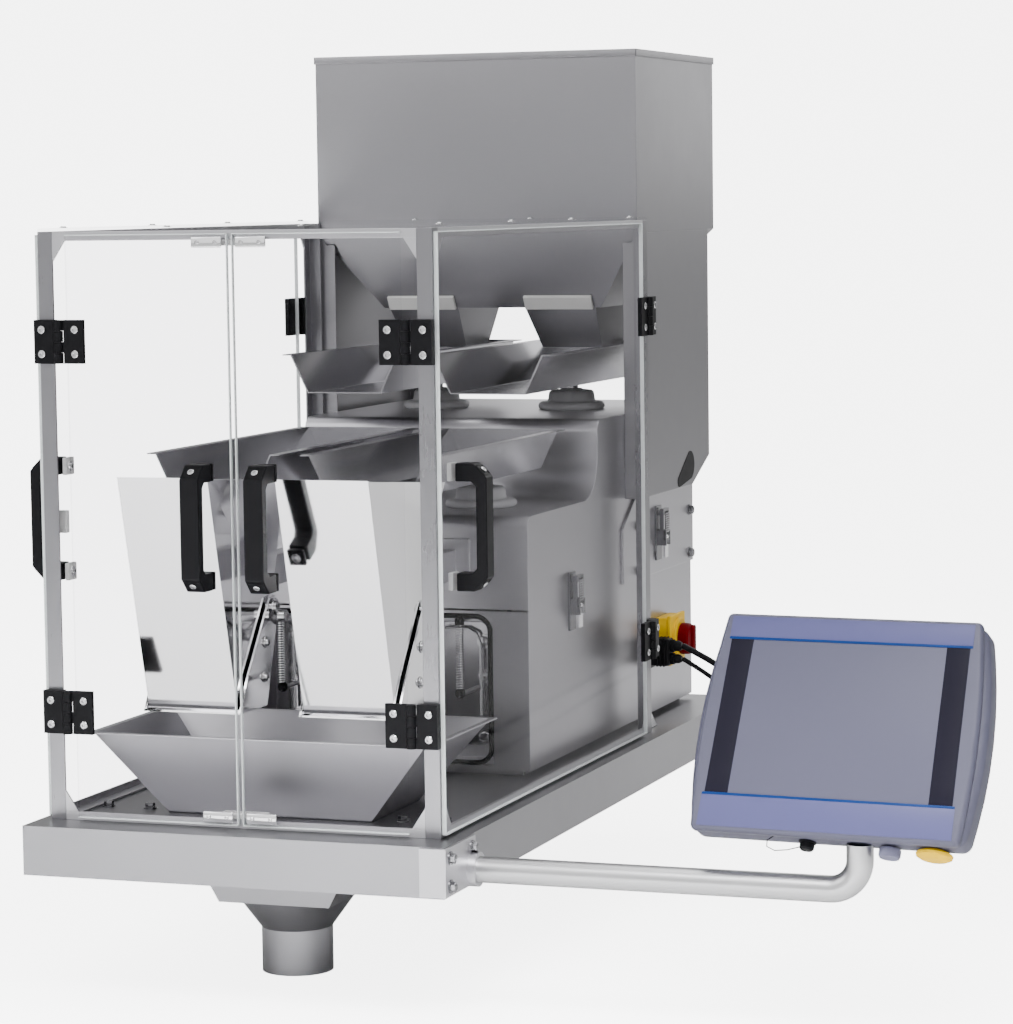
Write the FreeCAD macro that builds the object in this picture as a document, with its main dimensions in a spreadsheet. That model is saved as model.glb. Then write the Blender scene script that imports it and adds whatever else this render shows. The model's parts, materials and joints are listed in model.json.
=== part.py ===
import FreeCAD, Part
import Sketcher
import math
import os
from types import SimpleNamespace

# Twin-lane linear weigher that stands over a bagging line: a supply hopper on a
# stepped drive cabinet feeds four vibrating pans, two weigh buckets and one
# collecting funnel with a round spout, inside a clear guard with four doors.
# X is across the lanes, Y runs from the doors to the hopper, Z is up.  The
# origin lies on the underside of the base tray, on the middle of the machine.

os.makedirs("parts", exist_ok=True)
doc = FreeCAD.newDocument("TwinLaneWeigher")
Vector = FreeCAD.Vector
Rotation = FreeCAD.Rotation

# Driving dimensions in millimetres, angles in degrees.
DIMENSIONS = {
    "base_tail": 373, "base_height": 62, "base_left": 14, "base_front": 53,
    "base_right": 23, "base_sheet": 3, "base_flange": 40,
    "bolt_spacing_x": 510, "bolt_end_margin": 83, "bolt_hole_radius": 5.5,
    "guard_width": 520, "guard_depth": 860, "guard_height": 732,
    "post_leg": 20, "rail_height": 11, "angle_wall": 3, "gusset_wide": 17, "gusset_tall": 26,
    "panel_sheet": 5, "door_gap": 0.5, "door_edge_gap": 4, "door_meeting_gap": 6, "roof_sheet": 4,
    "hinge_height": 54, "hinge_leaf": 33.5, "hinge_sheet": 6, "hinge_inset": 31.5,
    "knuckle_radius": 6, "pin_radius": 2.5, "running_clearance": 0.05, "knuckle_gap": 0.4,
    "hinge_low": 110, "hinge_high": 570, "hinge_web": 7,
    "handle_length": 155, "handle_width": 25, "handle_reach": 40, "handle_bar": 14,
    "handle_chamfer": 17, "handle_low": 294, "handle_offset": 42, "side_handle_inset": 64,
    "lane_pitch": 212, "cabinet_width": 442, "cabinet_front": 441, "cabinet_tail": 335,
    "cabinet_lift": 8, "cabinet_wall": 2, "lower_deck": 347, "upper_deck": 456,
    "riser_setback": 118, "deck_bend": 60, "deck_nose": 18, "plinth_inset": 15,
    "seam_height": 223, "seam_gap": 2, "recess_width": 340, "recess_low": 14, "recess_depth": 60,
    "gasket_width": 5, "gasket_depth": 6,
    "hopper_width": 489, "hopper_depth": 391, "hopper_top": 973, "hopper_knee": 715,
    "hopper_neck": 606, "hopper_wall": 2, "neck_width": 336, "neck_front": 66, "neck_depth": 184,
    "chute_width": 108, "chute_end_width": 92, "chute_low": 546, "chute_shift": 54,
    "chute_end_depth": 96, "cheek_low": 334, "cheek_gap": 5, "cheek_rear": 359, "cheek_step": 30,
    "slide_gate_length": 22, "slide_gate_sheet": 6, "slide_gate_gap": 0.3,
    "pan_floor": 110, "pan_spacing": 28, "pan_height": 54, "pan_flange": 12, "pan_sheet": 1.5,
    "upper_pan_reach": 248, "upper_pan_length": 488, "upper_pan_low": 498,
    "lower_pan_front": 168, "lower_pan_rear_gap": 70, "lower_pan_low": 393,
    "upper_stem_back": 115, "lower_stem_ahead": 161, "stem_radius": 10, "stem_drop": 40,
    "boot_radius": 49, "boot_height": 22, "boot_clearance": 3, "drive_width": 90,
    "drive_length": 150, "drive_height": 70, "drive_gap": 0.3,
    "bucket_width": 122, "bucket_sheet": 2, "bucket_top": 429, "bucket_bottom": 131,
    "bucket_front_top": 16, "bucket_front_bottom": 93, "bucket_rear_bottom": 170,
    "bucket_rear_top": 240, "bucket_rear_height": 362, "flare_reach": 15, "flare_rise": 48,
    "gate_pivot_y": 200, "gate_pivot_z": 250, "gate_pin_radius": 5, "gate_pin_length": 9,
    "gate_sheet": 2.5, "gate_gap": 2,
    "hanger_width": 30, "hanger_low": 262, "hanger_height": 40, "hanger_plate": 70,
    "funnel_width": 448, "funnel_front": 48, "funnel_depth": 234, "funnel_rim": 104,
    "funnel_foot_width": 269, "funnel_foot_depth": 164, "funnel_sheet": 2, "funnel_lip": 6,
    "funnel_hole_gap": 0.3,
    "spout_square": 150, "spout_square_low": -113, "spout_radius": 45.5, "spout_wall": 2, "cone_low": -153, "spout_low": -210,
    "switch_side": 70, "switch_back": 145, "plug_back": 118, "plug_height": 100,
     "switch_low": 77, "switch_depth": 20,
    "plate_sheet": 4, "knob_radius": 22, "knob_depth": 22,
    "arm_radius": 16, "arm_wall": 2, "arm_axis_y": 34, "arm_axis_z": -41, "arm_reach": 767, "arm_entry": 14,
    "arm_bend": 36, "bracket_sheet": 4, "bracket_length": 100,
    "panel_tilt": 27.3, "panel_turn": -4.2, "display_x": 732.7, "display_back": 69.4,
    "display_z": 214, "housing_width": 330, "housing_above": 130, "housing_below": 142,
    "housing_depth": 52, "bezel_depth": 16, "socket_clearance": 0.3, "screen_width": 304, "screen_height": 192,
    "screen_sheet": 3, "stop_radius": 22, "stop_collar": 13, "stop_height": 16, "clamp_radius": 13, "cap_radius": 9, "cap_height": 12,
    "bolt_radius": 5, "bolt_head": 4, "cable_radius": 4.5, "data_radius": 3.5,
}

sheet = doc.addObject("Spreadsheet::Sheet", "Sizes")
for row, (alias, number) in enumerate(DIMENSIONS.items(), start=1):
    sheet.set("A%d" % row, alias)
    sheet.set("B%d" % row, str(number))
    sheet.setAlias("B%d" % row, alias)
doc.recompute()


class Size:
    # A number that also knows the sheet expression it comes from.
    def __init__(self, value, text):
        self.value = float(value)
        self.text = text

    def __add__(self, other):
        other = as_size(other)
        return Size(self.value + other.value, "(%s + %s)" % (self.text, other.text))

    def __sub__(self, other):
        other = as_size(other)
        return Size(self.value - other.value, "(%s - %s)" % (self.text, other.text))

    def __mul__(self, other):
        other = as_size(other)
        return Size(self.value * other.value, "(%s * %s)" % (self.text, other.text))

    def __truediv__(self, other):
        other = as_size(other)
        return Size(self.value / other.value, "(%s / %s)" % (self.text, other.text))

    def __neg__(self):
        return Size(-self.value, "(0 - %s)" % self.text)

    def __radd__(self, other):
        return as_size(other) + self

    def __rsub__(self, other):
        return as_size(other) - self

    def __rmul__(self, other):
        return as_size(other) * self


def as_size(number):
    return number if isinstance(number, Size) else Size(number, "%.6g" % number)


s = SimpleNamespace(**{alias: Size(number, "Sizes.%s" % alias) for alias, number in DIMENSIONS.items()})
nodes = []


def place(item, corner, turn=None):
    if turn is not None:
        item.Placement = FreeCAD.Placement(Vector(0, 0, 0), turn)
    for axis, coordinate in zip("xyz", corner):
        item.setExpression("Placement.Base.%s" % axis, as_size(coordinate).text)
    return item


def add(kind, name, corner, turn=None, **bound):
    item = doc.addObject(kind, name)
    for prop, size in bound.items():
        item.setExpression(prop, as_size(size).text)
    return place(item, corner, turn)


def box(name, low, high):
    length, width, height = (as_size(b) - a for a, b in zip(low, high))
    return add("Part::Box", name, low, Length=length, Width=width, Height=height)


def rod(name, radius, length, start, turn=None):
    return add("Part::Cylinder", name, start, turn, Radius=radius, Height=length)


def frustum(name, low, high, bottom, top):
    # low and high are (x0, x1, y0, y1); the wedge's own Y axis becomes Z.
    item = doc.addObject("Part::Wedge", name)
    item.Placement = FreeCAD.Placement(Vector(0, 0, 0), Rotation(Vector(1, 0, 0), 90))
    values = {"Xmin": low[0], "Xmax": low[1], "Zmin": -as_size(low[3]), "Zmax": -as_size(low[2]),
              "X2min": high[0], "X2max": high[1], "Z2min": -as_size(high[3]), "Z2max": -as_size(high[2]),
              "Ymin": bottom, "Ymax": top}
    for prop in ("Ymax", "Ymin", "Xmax", "Xmin", "Zmax", "Zmin", "X2max", "X2min", "Z2max", "Z2min"):
        item.setExpression(prop, as_size(values[prop]).text)
    return item


def cut(name, base, tools):
    tool = tools[0] if len(tools) == 1 else fuse(name + "_tools", tools)
    item = doc.addObject("Part::Cut", name)
    item.Base = base
    item.Tool = tool
    return item


def fuse(name, shapes):
    item = doc.addObject("Part::MultiFuse", name)
    item.Shapes = shapes
    return item


def group(name, shapes):
    item = doc.addObject("Part::Compound", name)
    item.Links = shapes
    return item


def prism(name, plane, outlines, length, corner=(0, 0, 0), turn=None, rounds=()):
    # Closed straight-sided outlines on one of the body's own planes, padded along
    # that plane's +X, +Y or +Z.  rounds holds (radius, [(u, v), ...]) per bend.
    body = doc.addObject("PartDesign::Body", name)
    sketch = body.newObject("Sketcher::SketchObject", name + "_sketch")
    origin_plane = [f for f in body.Origin.OriginFeatures if f.Role == plane][0]
    sketch.AttachmentSupport = [(origin_plane, "")]
    sketch.MapMode = "FlatFace"
    for outline in outlines:
        points = [(as_size(u), as_size(v)) for u, v in outline]
        first = sketch.GeometryCount
        for index, (u, v) in enumerate(points):
            nxt = points[(index + 1) % len(points)]
            sketch.addGeometry(Part.LineSegment(Vector(u.value, v.value, 0),
                                                Vector(nxt[0].value, nxt[1].value, 0)), False)
        for index, (u, v) in enumerate(points):
            line = first + index
            before = first + (index - 1) % len(points)
            sketch.addConstraint(Sketcher.Constraint("Coincident", before, 2, line, 1))
            for kind, size in (("DistanceX", u), ("DistanceY", v)):
                number = sketch.addConstraint(Sketcher.Constraint(kind, -1, 1, line, 1, size.value))
                sketch.setExpression("Constraints[%d]" % number, size.text)
    pad = body.newObject("PartDesign::Pad", name + "_pad")
    pad.Profile = sketch
    pad.setExpression("Length", as_size(length).text)
    pad.Reversed = plane == "XZ_Plane"
    place(body, corner, turn)
    if rounds:
        doc.recompute()
        for number, (radius, spots) in enumerate(rounds):
            tip = body.Tip
            edges = [edge_at(tip.Shape, plane, u, v) for u, v in spots]
            fillet = body.newObject("PartDesign::Fillet", "%s_round%d" % (name, number))
            fillet.Base = (tip, edges)
            fillet.setExpression("Radius", as_size(radius).text)
            doc.recompute()
    return body


def edge_at(shape, plane, u, v):
    # The straight edge that stands on the sketch point (u, v).
    first, second, along = {"XY_Plane": "xyz", "XZ_Plane": "xzy", "YZ_Plane": "yzx"}[plane]
    for number, edge in enumerate(shape.Edges, start=1):
        middle = edge.CenterOfMass
        near = math.hypot(getattr(middle, first) - as_size(u).value, getattr(middle, second) - as_size(v).value)
        spread = abs(getattr(edge.firstVertex().Point, along) - getattr(edge.lastVertex().Point, along))
        if near < 0.01 and spread > 0.5:
            return "Edge%d" % number
    raise ValueError("no edge at %s, %s" % (u, v))


def keep(item):
    item.Label = item.Name
    nodes.append(item)
    return item


about_x = lambda degrees: Rotation(Vector(1, 0, 0), degrees)
about_y = lambda degrees: Rotation(Vector(0, 1, 0), degrees)
about_z = lambda degrees: Rotation(Vector(0, 0, 1), degrees)

# Shared places.
left, right = -s.guard_width / 2, s.guard_width / 2
base_length = s.base_front + s.guard_depth + s.base_tail
base_rear = base_length / 2
front = s.base_front - base_rear
rear = front + s.guard_depth
floor = s.base_height
roof = floor + s.guard_height
lanes = {"left": -s.lane_pitch / 2, "right": s.lane_pitch / 2}
cabinet_side = s.cabinet_width / 2
cabinet_face = front + s.cabinet_front
cabinet_back = rear + s.cabinet_tail
riser = rear - s.riser_setback
upper_stem = rear + s.upper_stem_back
lower_stem = riser - s.lower_stem_ahead


def base_parts():
    low = (left - s.base_left, -base_rear, 0)
    high = (right + s.base_right, base_rear, floor)
    outer = box("base_outer", low, high)
    t, flange = s.base_sheet, s.base_flange
    cavity = box("base_cavity", (low[0] + t, low[1] + t, t), (high[0] - t, high[1] - t, floor - t))
    mouth = box("base_mouth", (low[0] + flange, low[1] + flange, -1), (high[0] - flange, high[1] - flange, t + 1))
    middle = front + s.funnel_front + s.funnel_depth / 2
    half = s.funnel_foot_width / 2 + t + s.funnel_hole_gap
    deep = s.funnel_foot_depth / 2 + t + s.funnel_hole_gap
    hole = box("base_funnel_hole", (-half, middle - deep, floor - t - 1), (half, middle + deep, floor + 1))
    bolts = [rod("base_hole_%s%s" % (a, b), s.bolt_hole_radius, t + 2,
                 (x * s.bolt_spacing_x / 2, y * (base_rear - s.bolt_end_margin), -1))
             for a, x in (("l", -1), ("r", 1)) for b, y in (("f", -1), ("b", 1))]
    keep(cut("base_tray", outer, [cavity, mouth, hole] + bolts))


def low_high(start, reach, sign):
    return (start, start + reach) if sign > 0 else (start - reach, start)


def angle_bar(name, corner, signs, along, lengths):
    # Two flat legs that meet on the edge through corner; lengths are the legs' widths.
    legs = []
    across = [i for i in range(3) if i != along[0]]
    for leg, wide in enumerate(across):
        thin = across[1 - leg]
        span = [None, None, None]
        span[along[0]] = (along[1], along[2])
        span[wide] = low_high(corner[wide], lengths[leg], signs[wide])
        span[thin] = low_high(corner[thin], s.angle_wall, signs[thin])
        legs.append(box("%s_leg%d" % (name, leg), [a for a, b in span], [b for a, b in span]))
    return fuse(name, legs)


def guard_frame():
    posts, rails, gussets = [], [], []
    corners = {"fl": (left, front, 1, 1), "fr": (right, front, -1, 1),
               "rl": (left, rear, 1, -1), "rr": (right, rear, -1, -1)}
    for key, (x, y, sx, sy) in corners.items():
        posts.append(angle_bar("post_" + key, (x, y, None), (sx, sy, 0), (2, floor, roof),
                               (s.post_leg, s.post_leg)))
    inner = (left + s.post_leg, right - s.post_leg)
    for key, z, sz in (("top", roof, -1), ("bottom", floor, 1)):
        rails.append(angle_bar("rail_front_" + key, (None, front, z), (0, 1, sz), (0, inner[0], inner[1]),
                               (s.post_leg, s.rail_height)))
        for side, x, sx in (("left", left, 1), ("right", right, -1)):
            rails.append(angle_bar("rail_%s_%s" % (side, key), (x, None, z), (sx, 0, sz),
                                   (1, front + s.post_leg, rear - s.post_leg), (s.post_leg, s.rail_height)))
    wide, tall, wall = s.gusset_wide, s.gusset_tall, s.angle_wall
    for key, z, sz in (("top", roof - s.rail_height, -1), ("bottom", floor + s.rail_height, 1)):
        for side, x, sx in (("left", inner[0], 1), ("right", inner[1], -1)):
            gussets.append(prism("gusset_front_%s_%s" % (side, key), "XZ_Plane",
                                 [[(x, z), (x + sx * wide, z), (x, z + sz * tall)]], wall, (0, front, 0)))
        for side, x in (("left", left), ("right", right - wall)):
            for end, y, sy in (("front", front + s.post_leg, 1), ("rear", rear - s.post_leg, -1)):
                gussets.append(prism("gusset_%s_%s_%s" % (side, end, key), "YZ_Plane",
                                     [[(y, z), (y + sy * wide, z), (y, z + sz * tall)]], wall, (x, 0, 0)))
    keep(group("guard_posts", posts))
    keep(group("guard_rails", rails + gussets))
    keep(box("top_panel", (left, front, roof), (right, rear, roof + s.roof_sheet)))


def hinge(name, sx, turn, axis, stack):
    # Local frame: pin on the Z axis, the leaves' outer faces on Y = 0, the door
    # side at X * sx > 0.  The fixed leaf is deeper by the door's sheet and gap.
    x, y, z = axis
    segment = s.hinge_height / 4
    fixed, moving = [], []
    for number in range(4):
        side, parts = (-sx, fixed) if number % 2 == 0 else (sx, moving)
        low = segment * number + s.knuckle_gap / 2
        tall = segment - s.knuckle_gap
        ring = rod("%s_knuckle%d" % (name, number), s.knuckle_radius, tall, (0, 0, low))
        span = low_high(as_size(0), s.hinge_web, side)
        web = box("%s_web%d" % (name, number), (span[0], 0, low), (span[1], s.hinge_sheet, low + tall))
        parts += [ring, web]
    depth = s.hinge_sheet + stack
    for parts, side, thick, tag in ((fixed, -sx, depth, "base"), (moving, sx, s.hinge_sheet, "leaf")):
        span = low_high(side * s.hinge_web, s.hinge_leaf - s.hinge_web, side)
        parts.append(box("%s_%s_plate" % (name, tag), (span[0], 0, 0), (span[1], thick, s.hinge_height)))
    bores = [rod("%s_bore_%s" % (name, tag), r, s.hinge_height + 2, (0, 0, -1))
             for tag, r in (("base", s.pin_radius), ("leaf", s.pin_radius + s.running_clearance))]
    base = cut(name + "_base", fuse(name + "_base_solid", fixed), [bores[0]])
    leaf = cut(name + "_leaf", fuse(name + "_leaf_solid", moving), [bores[1]])
    pin = rod(name + "_pin", s.pin_radius, s.hinge_height, (0, 0, 0))
    for item in (base, leaf, pin):
        place(item, (x, y, z), about_z(turn))
    return base, leaf, pin


def handle(name, turn, corner):
    reach, bar, chamfer, tall = s.handle_reach, s.handle_bar, s.handle_chamfer, s.handle_length
    foot = bar + 8
    inner = reach - bar
    outline = [(0, 0), (reach - chamfer, 0), (reach, chamfer), (reach, tall - chamfer),
               (reach - chamfer, tall), (0, tall), (0, tall - foot), (inner - 6, tall - foot),
               (inner, tall - foot - 6), (inner, foot + 6), (inner - 6, foot), (0, foot)]
    return keep(prism(name, "XZ_Plane", [outline], s.handle_width, corner, about_z(turn)))


def doors():
    gap, thick, edge = s.door_gap, s.panel_sheet, s.door_edge_gap
    low, high = floor + edge, roof - edge
    stack = gap + thick
    out = stack + s.hinge_sheet
    clear = s.knuckle_radius + 2
    y = front - gap - thick
    meeting = s.door_meeting_gap / 2
    panels = {
        "front_left": ((left + s.hinge_inset + clear, y, low), (-meeting, front - gap, high)),
        "front_right": ((meeting, y, low), (right - s.hinge_inset - clear, front - gap, high)),
        "side_left": ((left - stack, front + edge, low), (left - gap, rear - s.hinge_inset - clear, high)),
        "side_right": ((right + gap, front + edge, low), (right + stack, rear - s.hinge_inset - clear, high)),
    }
    places = {
        "front_left": (1, 0, left + s.hinge_inset, front - out),
        "front_right": (-1, 0, right - s.hinge_inset, front - out),
        "side_left": (1, -90, left - out, rear - s.hinge_inset),
        "side_right": (-1, 90, right + out, rear - s.hinge_inset),
    }
    half = s.handle_width / 2
    tall = floor + s.handle_low
    grips = {
        "front_left": (-90, (-s.handle_offset - half, y, tall)),
        "front_right": (-90, (s.handle_offset - half, y, tall)),
        "side_left": (180, (left - stack, front + s.side_handle_inset + half, tall)),
        "side_right": (0, (right + stack, front + s.side_handle_inset - half, tall)),
    }
    bases, pins = [], []
    for key, (start, end) in panels.items():
        keep(box("door_" + key, start, end))
        turn, corner = grips[key]
        handle("handle_" + key, turn, corner)
        sx, angle, x, y_axis = places[key]
        leaves = []
        for tag, height in (("low", s.hinge_low), ("high", s.hinge_high)):
            base, leaf, pin = hinge("hinge_%s_%s" % (key, tag), sx, angle, (x, y_axis, floor + height), stack)
            bases.append(base)
            leaves.append(leaf)
            pins.append(pin)
        keep(group("hinge_leaves_" + key, leaves))
    keep(group("hinge_bases", bases + pins))
    catches = []
    depth = s.post_leg - s.angle_wall
    for key, z in (("low", floor + s.rail_height), ("high", roof - s.rail_height - 8)):
        catches.append(box("catch_front_" + key, (-30, front, z), (30, front + depth, z + 8)))
    middle = floor + s.handle_low + s.handle_length / 2
    for key, x in (("left", left + s.angle_wall), ("right", right - s.post_leg)):
        catches.append(box("catch_side_" + key, (x, front + s.post_leg, middle - 14),
                           (x + depth, front + s.post_leg + 10, middle + 14)))
    keep(group("door_catches", catches))


def stepped(name, inset, foot):
    # The cabinet's side outline, drawn in by inset, between its two side plates.
    y0, y1 = cabinet_face + inset, cabinet_back - inset
    step = riser + inset
    low, high = floor + s.lower_deck - inset, floor + s.upper_deck - inset
    outline = [(y0, foot), (y1, foot), (y1, high), (step, high), (step, low), (y0, low)]
    wide = s.cabinet_width - 2 * as_size(inset)
    return prism(name, "YZ_Plane", [outline], wide, (-(wide / 2), 0, 0),
                 rounds=((s.deck_bend + inset, [(step, low)]), (s.deck_nose - inset, [(step, high), (y0, low)])))


def cabinet():
    wall, lift = s.cabinet_wall, floor + s.cabinet_lift
    seam = floor + s.seam_height
    outer = stepped("cabinet_outer", as_size(0), lift)
    inner = stepped("cabinet_inner", wall, lift + wall)
    window = box("cabinet_front_window", (-cabinet_side - 1, cabinet_face - 1, lift - 1),
                 (cabinet_side + 1, cabinet_face + wall, seam))
    holes = []
    for level, deck in (("upper", s.upper_deck), ("lower", s.lower_deck)):
        for side, x in lanes.items():
            y = upper_stem if level == "upper" else lower_stem
            holes.append(rod("deck_hole_%s_%s" % (level, side), s.stem_radius + s.boot_clearance,
                             wall + 4, (x, y, floor + deck - wall - 2)))
    shell = cut("cabinet_skin", outer, [inner, window] + holes)
    plinth = box("cabinet_plinth", (-cabinet_side + s.plinth_inset, cabinet_face + s.plinth_inset, floor),
                 (cabinet_side - s.plinth_inset, cabinet_back - s.plinth_inset, lift))
    keep(fuse("cabinet_shell", [shell, plinth]))

    half, low = s.recess_width / 2, floor + s.recess_low
    high = seam - s.seam_gap - 4
    plate = box("front_plate", (-cabinet_side, cabinet_face, lift), (cabinet_side, cabinet_face + wall, seam - s.seam_gap))
    opening = box("front_opening", (-half, cabinet_face - 1, low), (half, cabinet_face + wall + 1, high))
    keep(cut("cabinet_front_panel", plate, [opening]))

    g, d = s.gasket_width, s.gasket_depth
    seal = box("gasket_outer", (-half, cabinet_face - 2, low), (half, cabinet_face - 2 + d, high))
    clear = box("gasket_inner", (-half + g, cabinet_face - 3, low + g), (half - g, cabinet_face + d, high - g))
    keep(cut("recess_gasket", seal, [clear]))

    y0, y1 = cabinet_face + d - 2, cabinet_face + s.recess_depth
    tray = box("tray_outer", (-half, y0, low), (half, y1, high))
    hollow = box("tray_hollow", (-half + wall, y0 - 1, low + wall), (half - wall, y1 - wall, high - wall))
    skin = cut("tray_skin", tray, [hollow])
    pins = []
    for side, sign in (("left", -1), ("right", 1)):
        for tag, z in (("low", low + 96), ("high", high - 8)):
            pins.append(rod("spring_pin_%s_%s" % (side, tag), 3, s.recess_depth + 16,
                            (sign * spring_x, cabinet_face - 18, z), about_x(-90)))
    keep(fuse("recess_tray", [skin] + pins))
    springs = []
    for side, sign in (("left", -1), ("right", 1)):
        springs.append(cut("spring_" + side,
                           rod("spring_body_" + side, 5, high - low - 92, (sign * spring_x, cabinet_face - 12, low + 90)),
                           [rod("spring_eye_%s_%s" % (side, tag), 3, 30,
                                (sign * spring_x, cabinet_face - 25, z), about_x(-90))
                            for tag, z in (("low", low + 96), ("high", high - 8))]))
    keep(group("return_springs", springs))


spring_x = s.lane_pitch / 2 + 22


def cabinet_side_parts():
    outer = cabinet_side
    y0, y1 = rear - 15, cabinet_back
    low, high = floor + 213, floor + s.cheek_low - 2
    outline = [(y0, low), (y1, low), (y1, high), (y0 + 60, high), (y0, high - 40)]
    brackets = [prism("side_bracket_" + side, "YZ_Plane", [outline], s.plate_sheet, (x, 0, 0))
                for side, x in (("left", -outer - s.plate_sheet), ("right", outer))]
    keep(group("side_brackets", brackets))

    bolts = []
    r, head = s.bolt_radius, s.bolt_head
    for side, x, turn in (("left", -outer - s.plate_sheet, -90), ("right", outer + s.plate_sheet, 90)):
        for number, (y, z) in enumerate(((y0 + 66, 226), (y0 + 66, 291), (y1 - 20, 226), (y1 - 20, 291))):
            bolts.append(rod("side_bolt_%s%d" % (side, number), r, head, (x, y, floor + z), about_y(turn)))
    for number, (x, y) in enumerate(((left + 30, front + 100), (left + 88, front + 100),
                                     (right - 30, front + 100), (right - 88, front + 100))):
        bolts.append(rod("floor_bolt%d" % number, r, head, (x, y, floor)))
    bracket_x = right + s.base_right + s.bracket_sheet
    for number, (dy, z) in enumerate(((12, 14), (12, 48), (88, 48), (88, 14))):
        bolts.append(rod("arm_bolt%d" % number, r, head, (bracket_x, -base_rear + dy, z), about_y(90)))
    keep(group("machine_bolts", bolts))

    bases, levers = [], {}
    for key, y, z, x in (("front", rear - 242, floor + 176, outer), ("rear", rear + 150, floor + 232, outer + s.plate_sheet)):
        plate = box("latch_plate_" + key, (x, y - 13, z), (x + 3, y + 13, z + 80))
        ears = [box("latch_ear_%s%d" % (key, n), (x + 3, y - 11 + 19 * n, z + 22), (x + 17, y - 8 + 19 * n, z + 44))
                for n in (0, 1)]
        hook = box("latch_hook_" + key, (x + 3, y - 8, z + 66), (x + 11, y + 8, z + 72))
        pin = rod("latch_pin_" + key, s.pin_radius, 28, (x + 11, y - 14, z + 34), about_x(-90))
        legs = [box("bail_leg_%s%d" % (key, n), (x + 8, y - 14 + 26 * n, z + 30), (x + 14, y - 12 + 26 * n, z + 76))
                for n in (0, 1)]
        bar = box("bail_bar_" + key, (x + 8, y - 12, z + 72), (x + 14, y + 12, z + 76))
        bases.append(fuse("latch_base_" + key, [plate, hook, pin, bar] + ears + legs))
        hub = rod("latch_hub_" + key, 5, 15, (x + 11, y - 7.5, z + 34), about_x(-90))
        blade = box("latch_blade_" + key, (x + 11.5, y - 7.5, z + 4), (x + 14.5, y + 7.5, z + 34))
        bore = rod("latch_bore_" + key, s.pin_radius + s.running_clearance, 22, (x + 11, y - 11, z + 34), about_x(-90))
        levers[key] = cut("latch_lever_" + key, fuse("latch_lever_solid_" + key, [hub, blade]), [bore])
    keep(group("latch_bases", bases))
    for lever in levers.values():
        keep(lever)

    x, y, z = outer, rear + s.switch_back, floor + s.switch_low
    body = box("switch_body", (x, y, z), (x + s.switch_depth, y + s.switch_side, z + s.switch_side))
    plate = box("switch_plate", (x + s.switch_depth, y - 2, z - 2),
                (x + s.switch_depth + s.plate_sheet, y + s.switch_side + 2, z + s.switch_side + 2))
    centre = (x + s.switch_depth + s.plate_sheet, y + s.switch_side / 2, z + s.switch_side / 2)
    collar = rod("switch_collar", s.knob_radius + 6, 6, centre, about_y(90))
    keep(fuse("switch_base", [body, plate, collar]))
    knob = rod("knob_disc", s.knob_radius, s.knob_depth, (centre[0] + 6.3, centre[1], centre[2]), about_y(90))
    relief = [box("knob_relief%d" % n, (centre[0] + 12, centre[1] - 30, centre[2] + low),
                  (centre[0] + 40, centre[1] + 30, centre[2] + high)) for n, (low, high) in enumerate(((-30, -7), (7, 30)))]
    keep(cut("switch_knob", knob, relief))


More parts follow.
